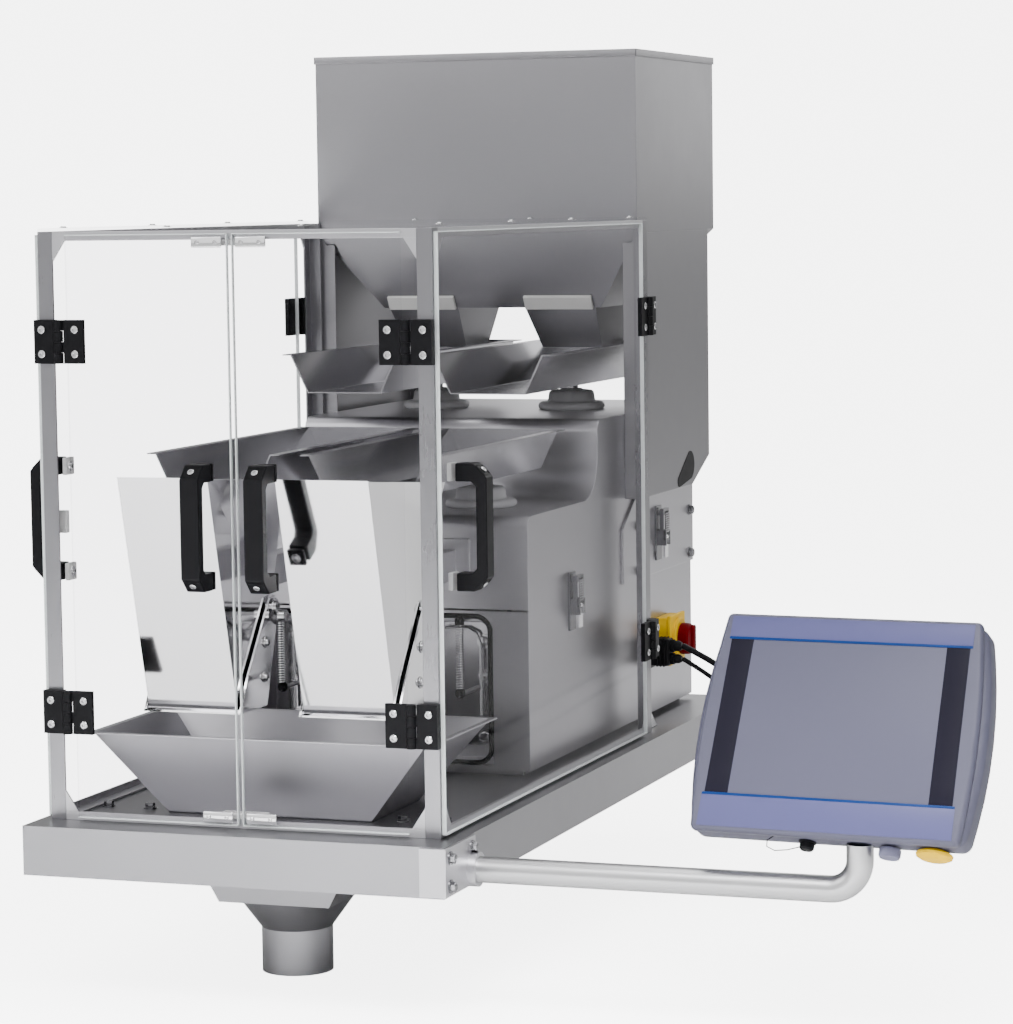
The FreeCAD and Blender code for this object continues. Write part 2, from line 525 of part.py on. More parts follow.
def hopper():
    t = s.hopper_wall
    x0, x1 = -s.hopper_width / 2, s.hopper_width / 2
    y0 = rear + 2
    y1 = y0 + s.hopper_depth
    knee, neck, top = floor + s.hopper_knee, floor + s.hopper_neck, floor + s.hopper_top
    n0, n1 = y0 + s.neck_front, y0 + s.neck_front + s.neck_depth
    half = s.neck_width / 2
    solids = [box("hopper_box_outer", (x0, y0, knee), (x1, y1, top)),
              frustum("hopper_slope_outer", (-half, half, n0, n1), (x0, x1, y0, y1), neck, knee)]
    hollows = [box("hopper_box_inner", (x0 + t, y0 + t, knee), (x1 - t, y1 - t, top + 1)),
               frustum("hopper_slope_inner", (-half + t, half - t, n0 + t, n1 - t),
                       (x0 + t, x1 - t, y0 + t, y1 - t), neck + t, knee)]
    for side, x in lanes.items():
        wide, end = s.chute_width / 2, s.chute_end_width / 2
        low = floor + s.chute_low
        e0 = n0 + s.chute_shift
        e1 = e0 + s.chute_end_depth
        solids.append(frustum("chute_outer_" + side, (x - end, x + end, e0, e1),
                              (x - wide, x + wide, n0, n1), low, neck))
        hollows.append(frustum("chute_inner_" + side, (x - end + t, x + end - t, e0 + t, e1 - t),
                               (x - wide + t, x + wide - t, n0 + t, n1 - t), low - 0.01, neck))
        hollows.append(box("chute_top_" + side, (x - wide + t, n0 + t, neck - 0.01), (x + wide - t, n1 - t, neck + t + 1)))
    keep(cut("hopper_shell", fuse("hopper_solid", solids), hollows))

    # Side cheeks carry the hopper on the cabinet; folded trays open to the inside.
    y0 = y0 + s.cheek_gap
    cheek = s.hopper_width / 2 - cabinet_side
    y2 = rear + 2 + s.cheek_rear
    low = floor + s.cheek_low
    wall = s.cabinet_wall

    def side_outline(inset):
        return [(y0 + inset, low + inset), (y2 - 90 - inset, low + inset), (y2 - inset, low + 38 + inset / 2),
                (y2 - inset, knee - inset), (y0 + inset, knee - inset)]

    cheeks = []
    for side, x, pocket in (("left", x0, x0 + wall), ("right", cabinet_side, cabinet_side - 1)):
        outer = prism("cheek_outer_" + side, "YZ_Plane", [side_outline(as_size(0))], cheek, (x, 0, 0))
        inner = prism("cheek_inner_" + side, "YZ_Plane", [side_outline(wall)], cheek - wall + 1, (pocket, 0, 0))
        slope = frustum("cheek_slope_" + side, (-half - 1, half + 1, n0 - 1, n1 + 1),
                        (x0 - 1, x1 + 1, y0 - 10, y1 + 1), neck, knee + 1)
        cheeks.append(cut("cheek_" + side, outer, [inner, slope]))
    keep(group("column_cheeks", cheeks))

    slope = math.atan2(s.neck_front.value, (s.hopper_knee - s.hopper_neck).value)
    stand_off = s.slide_gate_sheet + s.slide_gate_gap
    for side, x in lanes.items():
        corner = (x - s.chute_width / 2 + 2, n0 - stand_off * math.cos(slope), neck - stand_off * math.sin(slope))
        keep(add("Part::Box", "slide_gate_" + side, corner, about_x(math.degrees(slope)),
                 Length=s.chute_width - 4, Width=s.slide_gate_sheet, Height=s.slide_gate_length))


def pans():
    boots, drives = [], []
    floor_half, t = s.pan_floor / 2, s.pan_sheet
    mouth_half = (s.lane_pitch - s.pan_spacing) / 2 - s.pan_flange
    tall, flange = s.pan_height, s.pan_flange
    side_t = 1.1 * t
    lower_front = front + s.lower_pan_front
    lower_length = riser - s.lower_pan_rear_gap - lower_front
    levels = {"upper": (rear - s.upper_pan_reach, s.upper_pan_length, s.upper_pan_low, upper_stem, s.upper_deck),
              "lower": (lower_front, lower_length, s.lower_pan_low, lower_stem, s.lower_deck)}
    outline = [(-floor_half, 0), (floor_half, 0), (mouth_half, tall - t), (mouth_half + flange, tall - t),
               (mouth_half + flange, tall), (mouth_half - side_t, tall), (floor_half - side_t, t),
               (-(floor_half - side_t), t), (-(mouth_half - side_t), tall), (-(mouth_half + flange), tall),
               (-(mouth_half + flange), tall - t), (-mouth_half, tall - t)]
    end = [(-floor_half, 0), (floor_half, 0), (mouth_half, tall), (-mouth_half, tall)]
    for level, (start, length, low, stem, deck) in levels.items():
        for side, x in lanes.items():
            name = "pan_%s_%s" % (level, side)
            y, z = start, floor + low
            trough = prism(name + "_trough", "XZ_Plane", [outline], length, (x, y, z))
            back = prism(name + "_back", "XZ_Plane", [end], t, (x, y + length, z))
            tray = fuse(name + "_tray", [trough, back])
            under = floor + deck - s.stem_drop
            post = rod(name + "_post", s.stem_radius, z - under, (x, stem, under))
            foot = box(name + "_foot", (x - 30, stem - 30, under - 5), (x + 30, stem + 30, under))
            keep(group(name, [tray, fuse(name + "_stem", [post, foot])]))
            top = floor + deck
            ring = rod("boot_outer_%s_%s" % (level, side), s.boot_radius, s.boot_height, (x, stem, top))
            bore = rod("boot_bore_%s_%s" % (level, side), s.stem_radius + s.boot_clearance,
                       s.boot_height + 2, (x, stem, top - 1))
            boots.append(cut("boot_%s_%s" % (level, side), ring, [bore]))
            high = under - 5 - s.drive_gap
            drives.append(box("drive_%s_%s" % (level, side),
                              (x - s.drive_width / 2, stem - s.drive_length / 2, high - s.drive_height),
                              (x + s.drive_width / 2, stem + s.drive_length / 2, high)))
    pedestal = []
    for side, x in lanes.items():
        for level, deck, stem in (("upper", s.upper_deck, upper_stem), ("lower", s.lower_deck, lower_stem)):
            high = floor + deck - s.stem_drop - 5 - s.drive_gap - s.drive_height
            pedestal.append(box("pedestal_%s_%s" % (level, side), (x - 25, stem - 50, floor + s.cabinet_lift + s.cabinet_wall),
                                (x + 25, stem + 50, high)))
    keep(group("deck_boots", boots))
    keep(group("vibrator_drives", [fuse("drive_unit%d" % n, [d, p]) for n, (d, p) in
                                   enumerate(zip(drives, [pedestal[0], pedestal[2], pedestal[1], pedestal[3]]))]))


def buckets():
    w, t = s.bucket_width, s.bucket_sheet
    f_top, f_low = front + s.bucket_front_top, front + s.bucket_front_bottom
    r_top, r_low = front + s.bucket_rear_top, front + s.bucket_rear_bottom
    top, mid, low = floor + s.bucket_top, floor + s.bucket_rear_height, floor + s.bucket_bottom
    f_slope = (f_low - f_top) / (top - low)
    r_slope = (r_top - r_low) / (mid - low)
    over = as_size(20)
    pivot_y, pivot_z = front + s.gate_pivot_y, floor + s.gate_pivot_z
    hangers, cells = [], []
    for side, x in lanes.items():
        outer = prism("bucket_outer_" + side, "YZ_Plane",
                      [[(f_top, top), (f_low, low), (r_low, low), (r_top, mid)]], w, (x - w / 2, 0, 0))
        inner = prism("bucket_inner_" + side, "YZ_Plane",
                      [[(f_top - f_slope * over + t, top + over), (f_low + f_slope * over + t, low - over),
                        (r_low - r_slope * over - t, low - over), (r_top + r_slope * over - t, mid + over)]],
                      w - 2 * t, (x - w / 2 + t, 0, 0))
        pins = [rod("gate_pin_%s%d" % (side, n), s.gate_pin_radius, s.gate_pin_length,
                    (x + sign * (w / 2 - t / 2), pivot_y, pivot_z), about_y(90 * sign))
                for n, sign in enumerate((-1, 1))]
        body = cut("bucket_body_" + side, outer, [inner])
        flares = [flare("bucket_flare_%s%d" % (side, n), x, sign) for n, sign in enumerate((-1, 1))]
        keep(fuse("bucket_" + side, [body] + pins + flares))

        gap = s.gate_gap
        plate_low = low - gap - s.gate_sheet
        flap = box("gate_flap_" + side, (x - w / 2 - 3 - s.gate_sheet, f_low - 4, plate_low),
                   (x + w / 2 + 3 + s.gate_sheet, r_low + 4, low - gap))
        arms = []
        for n, sign in enumerate((-1, 1)):
            start = x + w / 2 + 3 if sign > 0 else x - w / 2 - 3 - s.gate_sheet
            arm = prism("gate_arm_%s%d" % (side, n), "YZ_Plane",
                        [[(f_low - 4, plate_low), (r_low + 4, plate_low), (pivot_y + 13, pivot_z - 8),
                          (pivot_y + 8, pivot_z + 14), (pivot_y - 12, pivot_z + 12), (f_low + 22, low + 40)]],
                        s.gate_sheet, (start, 0, 0))
            hole = rod("gate_bore_%s%d" % (side, n), s.gate_pin_radius + s.running_clearance,
                       s.gate_sheet + 2, (start - 1, pivot_y, pivot_z), about_y(90))
            arms.append(cut("gate_side_%s%d" % (side, n), arm, [hole]))
        keep(fuse("gate_" + side, [flap] + arms))

        half = s.hanger_width / 2
        z0, z1 = floor + s.hanger_low, floor + s.hanger_low + s.hanger_height
        seat = r_low + r_slope * (z1 - low) + 0.5
        beam = box("hanger_beam_" + side, (x - half, seat, z0), (x + half, cabinet_face, z1))
        pad = box("hanger_pad_" + side, (x - s.hanger_plate / 2, cabinet_face - 5, z0 - 15),
                  (x + s.hanger_plate / 2, cabinet_face, z1 + 15))
        hangers.append(fuse("hanger_" + side, [beam, pad]))
        inside = cabinet_face + s.cabinet_wall
        cells.append(box("load_cell_" + side, (x - half, inside, z0), (x + half, inside + 30, z1)))
    keep(group("bucket_hangers", hangers))
    keep(group("load_cells", cells))


def flare(name, x, sign):
    # A folded triangular lip that widens the mouth towards the feeder pan.
    side = x.value + sign * (s.bucket_width.value / 2 - s.bucket_sheet.value)
    y0, y1 = (front + s.bucket_front_top).value, (front + s.bucket_rear_top).value
    top, mid = (floor + s.bucket_top).value, (floor + s.bucket_rear_height).value
    tip = Vector(side + sign * s.flare_reach.value, y1, mid + s.flare_rise.value)
    corners = [Vector(side, y0 + 2, top - 1), Vector(side, y1 - 1, mid - 1), tip]
    face = Part.Face(Part.makePolygon(corners + corners[:1]))
    normal = face.normalAt(0, 0)
    if normal.x * sign < 0:
        normal = -normal
    item = doc.addObject("Part::Feature", name)
    item.Shape = face.extrude(normal * s.bucket_sheet.value)
    return item


def funnel():
    t = s.funnel_sheet
    y0 = front + s.funnel_front
    y1 = y0 + s.funnel_depth
    middle = (y0 + y1) / 2
    half, foot, deep = s.funnel_width / 2, s.funnel_foot_width / 2, s.funnel_foot_depth / 2
    rim, low = floor + s.funnel_rim, floor - s.base_sheet
    outer = frustum("funnel_outer", (-foot, foot, middle - deep, middle + deep), (-half, half, y0, y1), low, rim)
    lip = box("funnel_lip_outer", (-half - s.funnel_lip, y0 - s.funnel_lip, rim - t),
              (half + s.funnel_lip, y1 + s.funnel_lip, rim))
    inner = frustum("funnel_inner", (-foot + t, foot - t, middle - deep + t, middle + deep - t),
                    (-half + t, half - t, y0 + t, y1 - t), low - 0.01, rim + 0.01)
    keep(cut("collecting_funnel", fuse("funnel_solid", [outer, lip]), [inner]))

    # The spout: a square hopper foot, then a cone and a tube.
    wall = s.spout_wall
    top = floor - s.base_sheet
    half, r = s.spout_square / 2, s.spout_radius
    square_low, cone_low, spout_low = floor + s.spout_square_low, floor + s.cone_low, floor + s.spout_low
    flange = box("spout_flange", (-foot - 12, middle - deep - 12, top - wall), (foot + 12, middle + deep + 12, top))
    pieces, hollows = [flange], []
    for tag, items, inset in (("outer", pieces, as_size(0)), ("inner", hollows, wall)):
        items.append(frustum("spout_square_" + tag,
                             (-half + inset, half - inset, middle - half + inset, middle + half - inset),
                             (-foot + inset, foot - inset, middle - deep + inset, middle + deep - inset),
                             square_low + inset, top))
        items.append(add("Part::Cone", "spout_cone_" + tag, (0, middle, cone_low),
                         Radius1=r - inset, Radius2=half - inset, Height=square_low - cone_low + inset))
        items.append(rod("spout_tube_" + tag, r - inset, cone_low - spout_low + 0.5 * inset,
                         (0, middle, spout_low - 0.5 * inset)))
    keep(cut("discharge_spout", fuse("spout_solid", pieces), hollows))


def arm_and_display():
    x0 = right + s.base_right
    t = s.bracket_sheet
    y, z = front + s.arm_axis_y, floor + s.arm_axis_z
    side = box("bracket_side", (x0, -base_rear, 2), (x0 + t, -base_rear + s.bracket_length, floor - 1))
    fold = box("bracket_fold", (x0 - 30, -base_rear - t, 2), (x0 + t, -base_rear, floor - 1))
    socket = rod("bracket_socket", s.arm_radius + 5, 14, (x0, y, z), about_y(90))
    bore = rod("bracket_bore", s.arm_radius, 20, (x0 + t, y, z), about_y(90))
    keep(cut("arm_bracket", fuse("bracket_solid", [side, fold, socket]), [bore]))

    bend, reach = s.arm_bend, s.arm_reach
    up = floor + s.arm_entry
    runs = []
    for tag, r in (("outer", s.arm_radius), ("inner", s.arm_radius - s.arm_wall)):
        level = rod("arm_level_" + tag, r, reach - bend - x0 - t, (x0 + t, y, z), about_y(90))
        turn = add("Part::Torus", "arm_turn_" + tag, (reach - bend, y, z + bend), about_x(90),
                   Radius1=bend, Radius2=r)
        turn.Angle3 = 90
        turn.Placement.Rotation = Rotation(Vector(1, 0, 0), 90) * Rotation(Vector(0, 0, 1), -90)
        rise = rod("arm_rise_" + tag, r, up - z - bend, (reach, y, z + bend))
        runs.append(fuse("arm_" + tag, [level, turn, rise]))
    keep(cut("arm_tube", runs[0], [runs[1]]))

    # The display is drawn flat: X to its right, Z up its face, Y into its depth.
    half, above, below = s.housing_width / 2, s.housing_above, s.housing_below
    depth, bezel, glass = s.housing_depth, s.bezel_depth, s.screen_sheet
    corner = 9
    face = [(-half + corner, -below), (half - corner, -below), (half, -below + corner), (half - 4, above - corner),
            (half - 4 - corner, above), (-half + 4 + corner, above), (-half + 4, above - corner), (-half, -below + corner)]
    front_shell = prism("bezel_solid", "XZ_Plane", [face], bezel)
    pocket = box("bezel_pocket", (-s.screen_width / 2, -1, -s.screen_height / 2),
                 (s.screen_width / 2, glass, s.screen_height / 2))
    keep(pose(cut("hmi_bezel", front_shell, [pocket])))
    keep(pose(group("hmi_screen", [box("screen_sheet", (-s.screen_width / 2, 0.3, -s.screen_height / 2),
                                       (s.screen_width / 2, glass, s.screen_height / 2))])))
    side = [(bezel, -below + 4), (depth - 4, -below + 4), (depth, -below + 12), (depth, above - 30),
            (depth - 12, above - 8), (bezel, above - 4)]
    shell = prism("housing_solid", "YZ_Plane", [side], s.housing_width - 8, (-half + 4, 0, 0))
    glands = [rod("housing_gland_" + tag, r + 4, 14, (x, depth, gland_height), about_x(-90))
              for tag, r, x in (("power", s.cable_radius, power_place), ("data", s.data_radius, data_place))]
    body = pose(fuse("housing_body", [shell] + glands))
    collar = rod("housing_collar", s.arm_radius + 6, 24, (reach, y, floor - 4))
    socket = rod("housing_socket", s.arm_radius + s.socket_clearance, s.arm_entry + 32, (reach, y, floor - 30))
    stop_depth = bezel + s.stop_radius + 0.5
    stop_well = pose(group("stop_well", [rod("stop_well_bore", 6.5, 8, (stop_place, stop_depth, -below + 3))]))
    keep(cut("hmi_housing", fuse("housing_joined", [body, collar]),
             [socket, front_shell_copy(face, bezel), stop_well]))

    under = -below + 4
    middle = (bezel + depth) / 2
    ring = rod("stop_ring", s.stop_collar, 2, (stop_place, stop_depth, under - 2))
    stem_hole = rod("stop_hole", 6 + s.running_clearance, 4, (stop_place, stop_depth, under - 3))
    keep(pose(cut("stop_housing", ring, [stem_hole])))
    head = rod("stop_head", s.stop_radius, s.stop_height - 6, (stop_place, stop_depth, under - s.stop_height))
    stem = rod("stop_stem", 6, 5.2, (stop_place, stop_depth, under - 6))
    keep(pose(fuse("stop_button", [head, stem])))
    knob = rod("clamp_disc", s.clamp_radius, 12, (clamp_place, middle, under - 15))
    post = rod("clamp_post", 4, 2.7, (clamp_place, middle, under - 3))
    keep(pose(fuse("clamp_knob", [knob, post])))
    cap = rod("cap_plug", s.cap_radius, s.cap_height, (cap_place, middle, under - s.cap_height))
    keep(pose(group("hmi_cap", [cap])))


stop_place = 126
cap_place = -27
clamp_place = 74
gland_height = -44
power_place = -84
data_place = -50


def pose(item):
    turn = Rotation(Vector(0, 0, 1), s.panel_turn.value) * Rotation(Vector(1, 0, 0), -s.panel_tilt.value)
    return place(item, (s.display_x, front + s.display_back, s.display_z), turn)


def front_shell_copy(face, bezel):
    return pose(prism("clamp_clear", "XZ_Plane", [face], bezel))


def cables():
    # The plug stands on the cabinet side just behind the guard's rear post.
    x, y, z = cabinet_side, rear + s.plug_back, floor + s.plug_height
    flange = box("plug_flange", (x, y - 22, z - 26), (x + 4, y + 22, z + 26))
    body = box("plug_body", (x + 4, y - 16, z - 20), (x + 34, y + 16, z + 20))
    nose = [rod("plug_nose_" + tag, r + 4, 16, (x + 34, y, z + dz), about_y(90))
            for tag, r, dz in (("power", s.cable_radius, 9), ("data", s.data_radius, -10))]
    keep(fuse("cable_plug", [flange, body] + nose))
    turn = Rotation(Vector(0, 0, 1), s.panel_turn.value) * Rotation(Vector(1, 0, 0), -s.panel_tilt.value)
    spot = Vector(s.display_x.value, (front + s.display_back).value, s.display_z.value)
    into = turn.multVec(Vector(0, 1, 0))
    for name, r, dz, place_x, sag in (("power_cable", s.cable_radius, 9, power_place, 120),
                                      ("data_cable", s.data_radius, -10, data_place, 165)):
        start = Vector((x + 51.8).value, y.value, (z + dz).value)
        end = spot + turn.multVec(Vector(place_x, s.housing_depth.value + 14.9, gland_height))
        hang = Vector(0, 0, -sag)
        poles = [start, start + Vector(60, 0, 0), start + Vector(230, -60, 0) + hang,
                 end + into * 320 + hang, end + into * 60, end]
        cord(name, poles, r)


cable_runs = 14


def cord(name, poles, radius):
    # Straight runs joined by tangent arcs along a hanging cubic curve.
    curve = Part.BezierCurve()
    curve.setPoles(poles)
    edge = curve.toShape()
    points = edge.discretize(Number=cable_runs + 1)
    spots = [points[0]]
    ends, arcs, radii = [], [], []
    for before, point, after in zip(points, points[1:], points[2:]):
        back, ahead = before - point, after - point
        reach = 0.45 * min(back.Length, ahead.Length)
        half_turn = (math.pi - back.getAngle(ahead)) / 2
        radii.append(reach / math.tan(half_turn))
        a = point + back.normalize() * reach
        b = point + ahead.normalize() * reach
        centre_way = (a - point) + (b - point)
        centre_way.normalize()
        middle = point + centre_way * (radii[-1] / math.cos(half_turn) - radii[-1])
        arcs.append(Part.Arc(a, middle, b).toShape())
        ends.append((a, b))
    edges = []
    last = spots[0]
    for (a, b), arc in zip(ends, arcs):
        edges += [Part.LineSegment(last, a).toShape(), arc]
        last = b
    edges.append(Part.LineSegment(last, points[-1]).toShape())
    path = Part.Wire(edges)
    ring = Part.Wire(Part.makeCircle(radius.value, points[0], points[1] - points[0]))
    tube = path.makePipeShell([ring], True, False)
    item = doc.addObject("Part::Feature", name)
    item.Shape = tube
    keep(item)
    expected = math.pi * radius.value ** 2 * path.Length
    print("%s: length %.1f, tightest bend %.1f, volume ratio %.4f"
          % (name, path.Length, min(radii), tube.Volume / expected))
    for number, point in enumerate(points):
        print("%s point %d: %.2f %.2f %.2f" % (name, number, point.x, point.y, point.z))


base_parts()
guard_frame()
doors()
cabinet()
cabinet_side_parts()
hopper()
pans()
buckets()
funnel()
arm_and_display()
cables()
doc.recompute()

# Every object is checked before any file is written.
for item in doc.Objects:
    states = item.State
    if "Invalid" in states or "Error" in states:
        raise RuntimeError("%s did not compute: %s" % (item.Name, states))
for item in nodes:
    shape = item.Shape
    if shape.isNull() or not shape.isValid() or not shape.Solids:
        raise RuntimeError("%s has no valid solid" % item.Label)
for item in nodes:
    item.Shape.exportStep("parts/%s.step" % item.Label)
print("wrote %d nodes, %d solids" % (len(nodes), sum(len(item.Shape.Solids) for item in nodes)))
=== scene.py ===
import json
import math
import bmesh
import bpy
from mathutils import Matrix, Vector


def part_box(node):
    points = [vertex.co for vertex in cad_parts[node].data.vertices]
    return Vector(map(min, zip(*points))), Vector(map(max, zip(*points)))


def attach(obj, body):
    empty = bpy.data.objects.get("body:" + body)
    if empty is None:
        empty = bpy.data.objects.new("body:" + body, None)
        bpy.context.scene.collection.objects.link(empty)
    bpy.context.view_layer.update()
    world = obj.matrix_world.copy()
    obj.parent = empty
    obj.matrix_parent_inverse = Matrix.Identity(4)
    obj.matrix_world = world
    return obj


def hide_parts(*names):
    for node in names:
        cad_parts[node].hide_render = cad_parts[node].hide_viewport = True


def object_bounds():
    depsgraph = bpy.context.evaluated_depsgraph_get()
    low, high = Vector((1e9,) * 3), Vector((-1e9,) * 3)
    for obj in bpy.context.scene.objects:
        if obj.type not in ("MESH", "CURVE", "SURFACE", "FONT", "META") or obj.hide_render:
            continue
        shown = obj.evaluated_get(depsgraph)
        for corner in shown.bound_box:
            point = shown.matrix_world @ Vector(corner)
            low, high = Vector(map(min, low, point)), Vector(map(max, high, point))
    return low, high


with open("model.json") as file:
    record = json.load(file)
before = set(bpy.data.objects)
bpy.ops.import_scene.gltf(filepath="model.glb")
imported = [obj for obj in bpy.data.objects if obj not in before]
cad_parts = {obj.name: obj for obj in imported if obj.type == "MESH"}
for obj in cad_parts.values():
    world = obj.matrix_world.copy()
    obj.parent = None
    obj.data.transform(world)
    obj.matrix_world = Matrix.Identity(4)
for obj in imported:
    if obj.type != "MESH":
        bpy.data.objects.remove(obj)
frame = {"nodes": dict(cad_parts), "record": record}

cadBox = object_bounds()
nodes = frame["nodes"]
nodeBody = {name: body for body, names in frame["record"]["behaviour"]["bodies"].items() for name in names}
laneX = {"left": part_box("pan_lower_left"), "right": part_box("pan_lower_right")}
laneX = {side: (low[0] + high[0]) / 2 for side, (low, high) in laneX.items()}
print("frame loaded:", len(nodes), "nodes")


# Camera, floor and light.

view = {"place": (1.7050, -4.4014, 0.8296), "turn": 0.3418, "tilt": -0.0915, "roll": -0.0134, "lens": 120.86}


def placed(name, data):
    holder = bpy.data.objects.new(name, data)
    bpy.context.collection.objects.link(holder)
    return holder


def makeCamera():
    camera = bpy.data.cameras.new("camera")
    camera.lens = view["lens"]
    camera.sensor_width = 36
    camera.sensor_fit = "AUTO"
    camera.clip_end = 50
    holder = placed("camera", camera)
    turn = Matrix.Rotation(view["turn"], 4, "Z") @ Matrix.Rotation(math.pi / 2 + view["tilt"], 4, "X")
    holder.matrix_world = Matrix.Translation(view["place"]) @ turn @ Matrix.Rotation(view["roll"], 4, "Z")
    bpy.context.scene.camera = holder


studio = {
    "softBoxes": [  # place, aim, width, height, watts, spread in degrees
        ((-2.6, -2.4, 2.6), (0, 0, 0.5), 2.2, 2.2, 50, 180),
        ((2.8, -2.6, 2.2), (0.1, 0, 0.4), 1.6, 2.4, 12, 180),
        ((0.2, 0.2, 3.6), (0, 0, 0.5), 2.6, 2.6, 70, 180),
        ((0.2, 3.2, 1.6), (0, 0, 0.5), 2.6, 1.6, 24, 180),
        ((0.3, -2.3, 1.5), (0.1, -1.9, -0.2), 3.0, 1.4, 105, 70)],
    "up": [(0.0, 0.18), (0.44, 0.22), (0.50, 0.62), (0.60, 0.58), (0.72, 0.62), (0.92, 1.0)],
    "front": [(0.0, 0.34), (0.55, 0.42), (0.80, 0.80), (0.97, 1.0)],
    "right": [(0.0, 1.0), (0.55, 0.95), (0.95, 0.62)],
    "power": 2.5, "seenPower": 6.0}


def makeStudio():
    for number, (place, aim, wide, tall, power, spread) in enumerate(studio["softBoxes"]):
        lamp = bpy.data.lights.new("softBox%d" % number, "AREA")
        lamp.shape = "RECTANGLE"
        lamp.size = wide
        lamp.size_y = tall
        lamp.energy = power
        lamp.spread = math.radians(spread)
        holder = placed("softBox%d" % number, lamp)
        holder.location = place
        holder.rotation_euler = (Vector(place) - Vector(aim)).to_track_quat("Z", "Y").to_euler()
    world = bpy.data.worlds.new("studio")
    world.use_nodes = True
    bpy.context.scene.world = world
    shader = Shader(world.node_tree)
    direction = shader.node("ShaderNodeTexCoord")["Generated"]
    axes = shader.node("ShaderNodeSeparateXYZ", inputs={"Vector": direction})
    room = shader.ramp(axes["Z"] * 0.5 + 0.5, studio["up"])
    room = shader.mix(1.0, room, shader.ramp(axes["Y"] * -0.5 + 0.5, studio["front"]), "MULTIPLY")
    room = shader.mix(1.0, room, shader.ramp(axes["X"] * 0.5 + 0.5, studio["right"]), "MULTIPLY")
    sky = shader.node("ShaderNodeBackground", inputs={"Color": room, "Strength": studio["power"]})["Background"]
    plain = shader.node("ShaderNodeBackground", inputs={
        "Color": (1, 1, 1, 1), "Strength": studio["seenPower"]})["Background"]
    seen = shader.node("ShaderNodeLightPath")["Is Camera Ray"]
    mixed = shader.node("ShaderNodeMixShader", inputs={0: seen, 1: sky, 2: plain})["Shader"]
    shader.node("ShaderNodeOutputWorld", inputs={"Surface": mixed})


# Shader maths.

class Wire:
    # One node socket that can be used in sums.
    def __init__(self, shader, socket):
        self.shader = shader
        self.socket = socket

    def sum(self, operation, first, second):
        found = self.shader.node("ShaderNodeMath", {"operation": operation}, {0: first, 1: second})
        return found["Value"]

    def __add__(self, other):
        return self.sum("ADD", self, other)

    def __radd__(self, other):
        return self.sum("ADD", other, self)

    def __sub__(self, other):
        return self.sum("SUBTRACT", self, other)

    def __rsub__(self, other):
        return self.sum("SUBTRACT", other, self)

    def __mul__(self, other):
        return self.sum("MULTIPLY", self, other)

    def __rmul__(self, other):
        return self.sum("MULTIPLY", other, self)

    def __pow__(self, other):
        return self.sum("POWER", self, other)


class Outputs:
    def __init__(self, shader, node):
        self.shader = shader
        self.node = node

    def __getitem__(self, name):
        return Wire(self.shader, self.node.outputs[name])


class Shader:
    def __init__(self, tree):
        self.tree = tree
        tree.nodes.clear()

    def node(self, kind, settings=None, inputs=None):
        made = self.tree.nodes.new(kind)
        for name, value in (settings or {}).items():
            setattr(made, name, value)
        for name, value in (inputs or {}).items():
            socket = made.inputs[name]
            if isinstance(value, Wire):
                self.tree.links.new(value.socket, socket)
            else:
                socket.default_value = value
        return Outputs(self, made)

    def ramp(self, factor, stops):
        made = self.node("ShaderNodeValToRGB", inputs={"Fac": factor})
        line = made.node.color_ramp
        for position, grey in stops[2:]:
            line.elements.new(position)
        for element, (position, grey) in zip(line.elements, stops):
            element.position = position
            element.color = (grey, grey, grey, 1)
        return made["Color"]

    def mix(self, factor, first, second, blend="MIX"):
        first, second = (value if isinstance(value, Wire) else (*value, 1) for value in (first, second))
        settings = {"data_type": "RGBA", "blend_type": blend}
        return self.node("ShaderNodeMix", settings, {0: factor, 6: first, 7: second})[2]  # the colour sockets

    def place(self, scale=(1, 1, 1)):
        spot = self.node("ShaderNodeTexCoord")["Object"]
        return self.node("ShaderNodeMapping", inputs={"Vector": spot, "Scale": scale})["Vector"]

    def noise(self, vector, scale, detail=3, roughness=0.5):
        return self.node("ShaderNodeTexNoise", inputs={"Vector": vector, "Scale": scale, "Detail": detail,
                                                       "Roughness": roughness})["Fac"]

    def bump(self, height, strength, distance):
        return self.node("ShaderNodeBump", inputs={"Height": height, "Strength": strength,
                                                   "Distance": distance})["Normal"]


finishes, slotOf = {}, {}


def finish(name, slot, build):
    # Makes a finish, with the record's slot that it belongs to.
    material = bpy.data.materials.new(name)
    material.use_nodes = True
    shader = Shader(material.node_tree)
    shader.node("ShaderNodeOutputMaterial", inputs={"Surface": build(shader)})
    finishes[name] = material
    slotOf[name] = slot


def brushed(tone, streak, rough, grain=0.12):
    # Sheet steel with a fine directional grind, soft cloudy handling marks and light scuffs.
    def build(shader):
        lines = shader.noise(shader.place(streak), 1.0, 4, 0.65)
        cloud = shader.noise(shader.place(), 5.0, 3, 0.55)
        patch = shader.noise(shader.place(), 38.0, 2, 0.5)
        darker, lighter = (tuple(part * share for part in tone) for share in (0.95, 1.05))
        colour = shader.mix(lines * 0.45 + cloud * 0.55, darker, lighter)
        roughness = rough - 0.03 + lines * 0.04 + (cloud - 0.5) * 0.10 + (patch - 0.5) * 0.04
        normal = shader.bump(lines, grain, 0.00004)
        return shader.node("ShaderNodeBsdfPrincipled", inputs={
            "Base Color": colour, "Metallic": 1.0, "Roughness": roughness, "Normal": normal})["BSDF"]
    return build


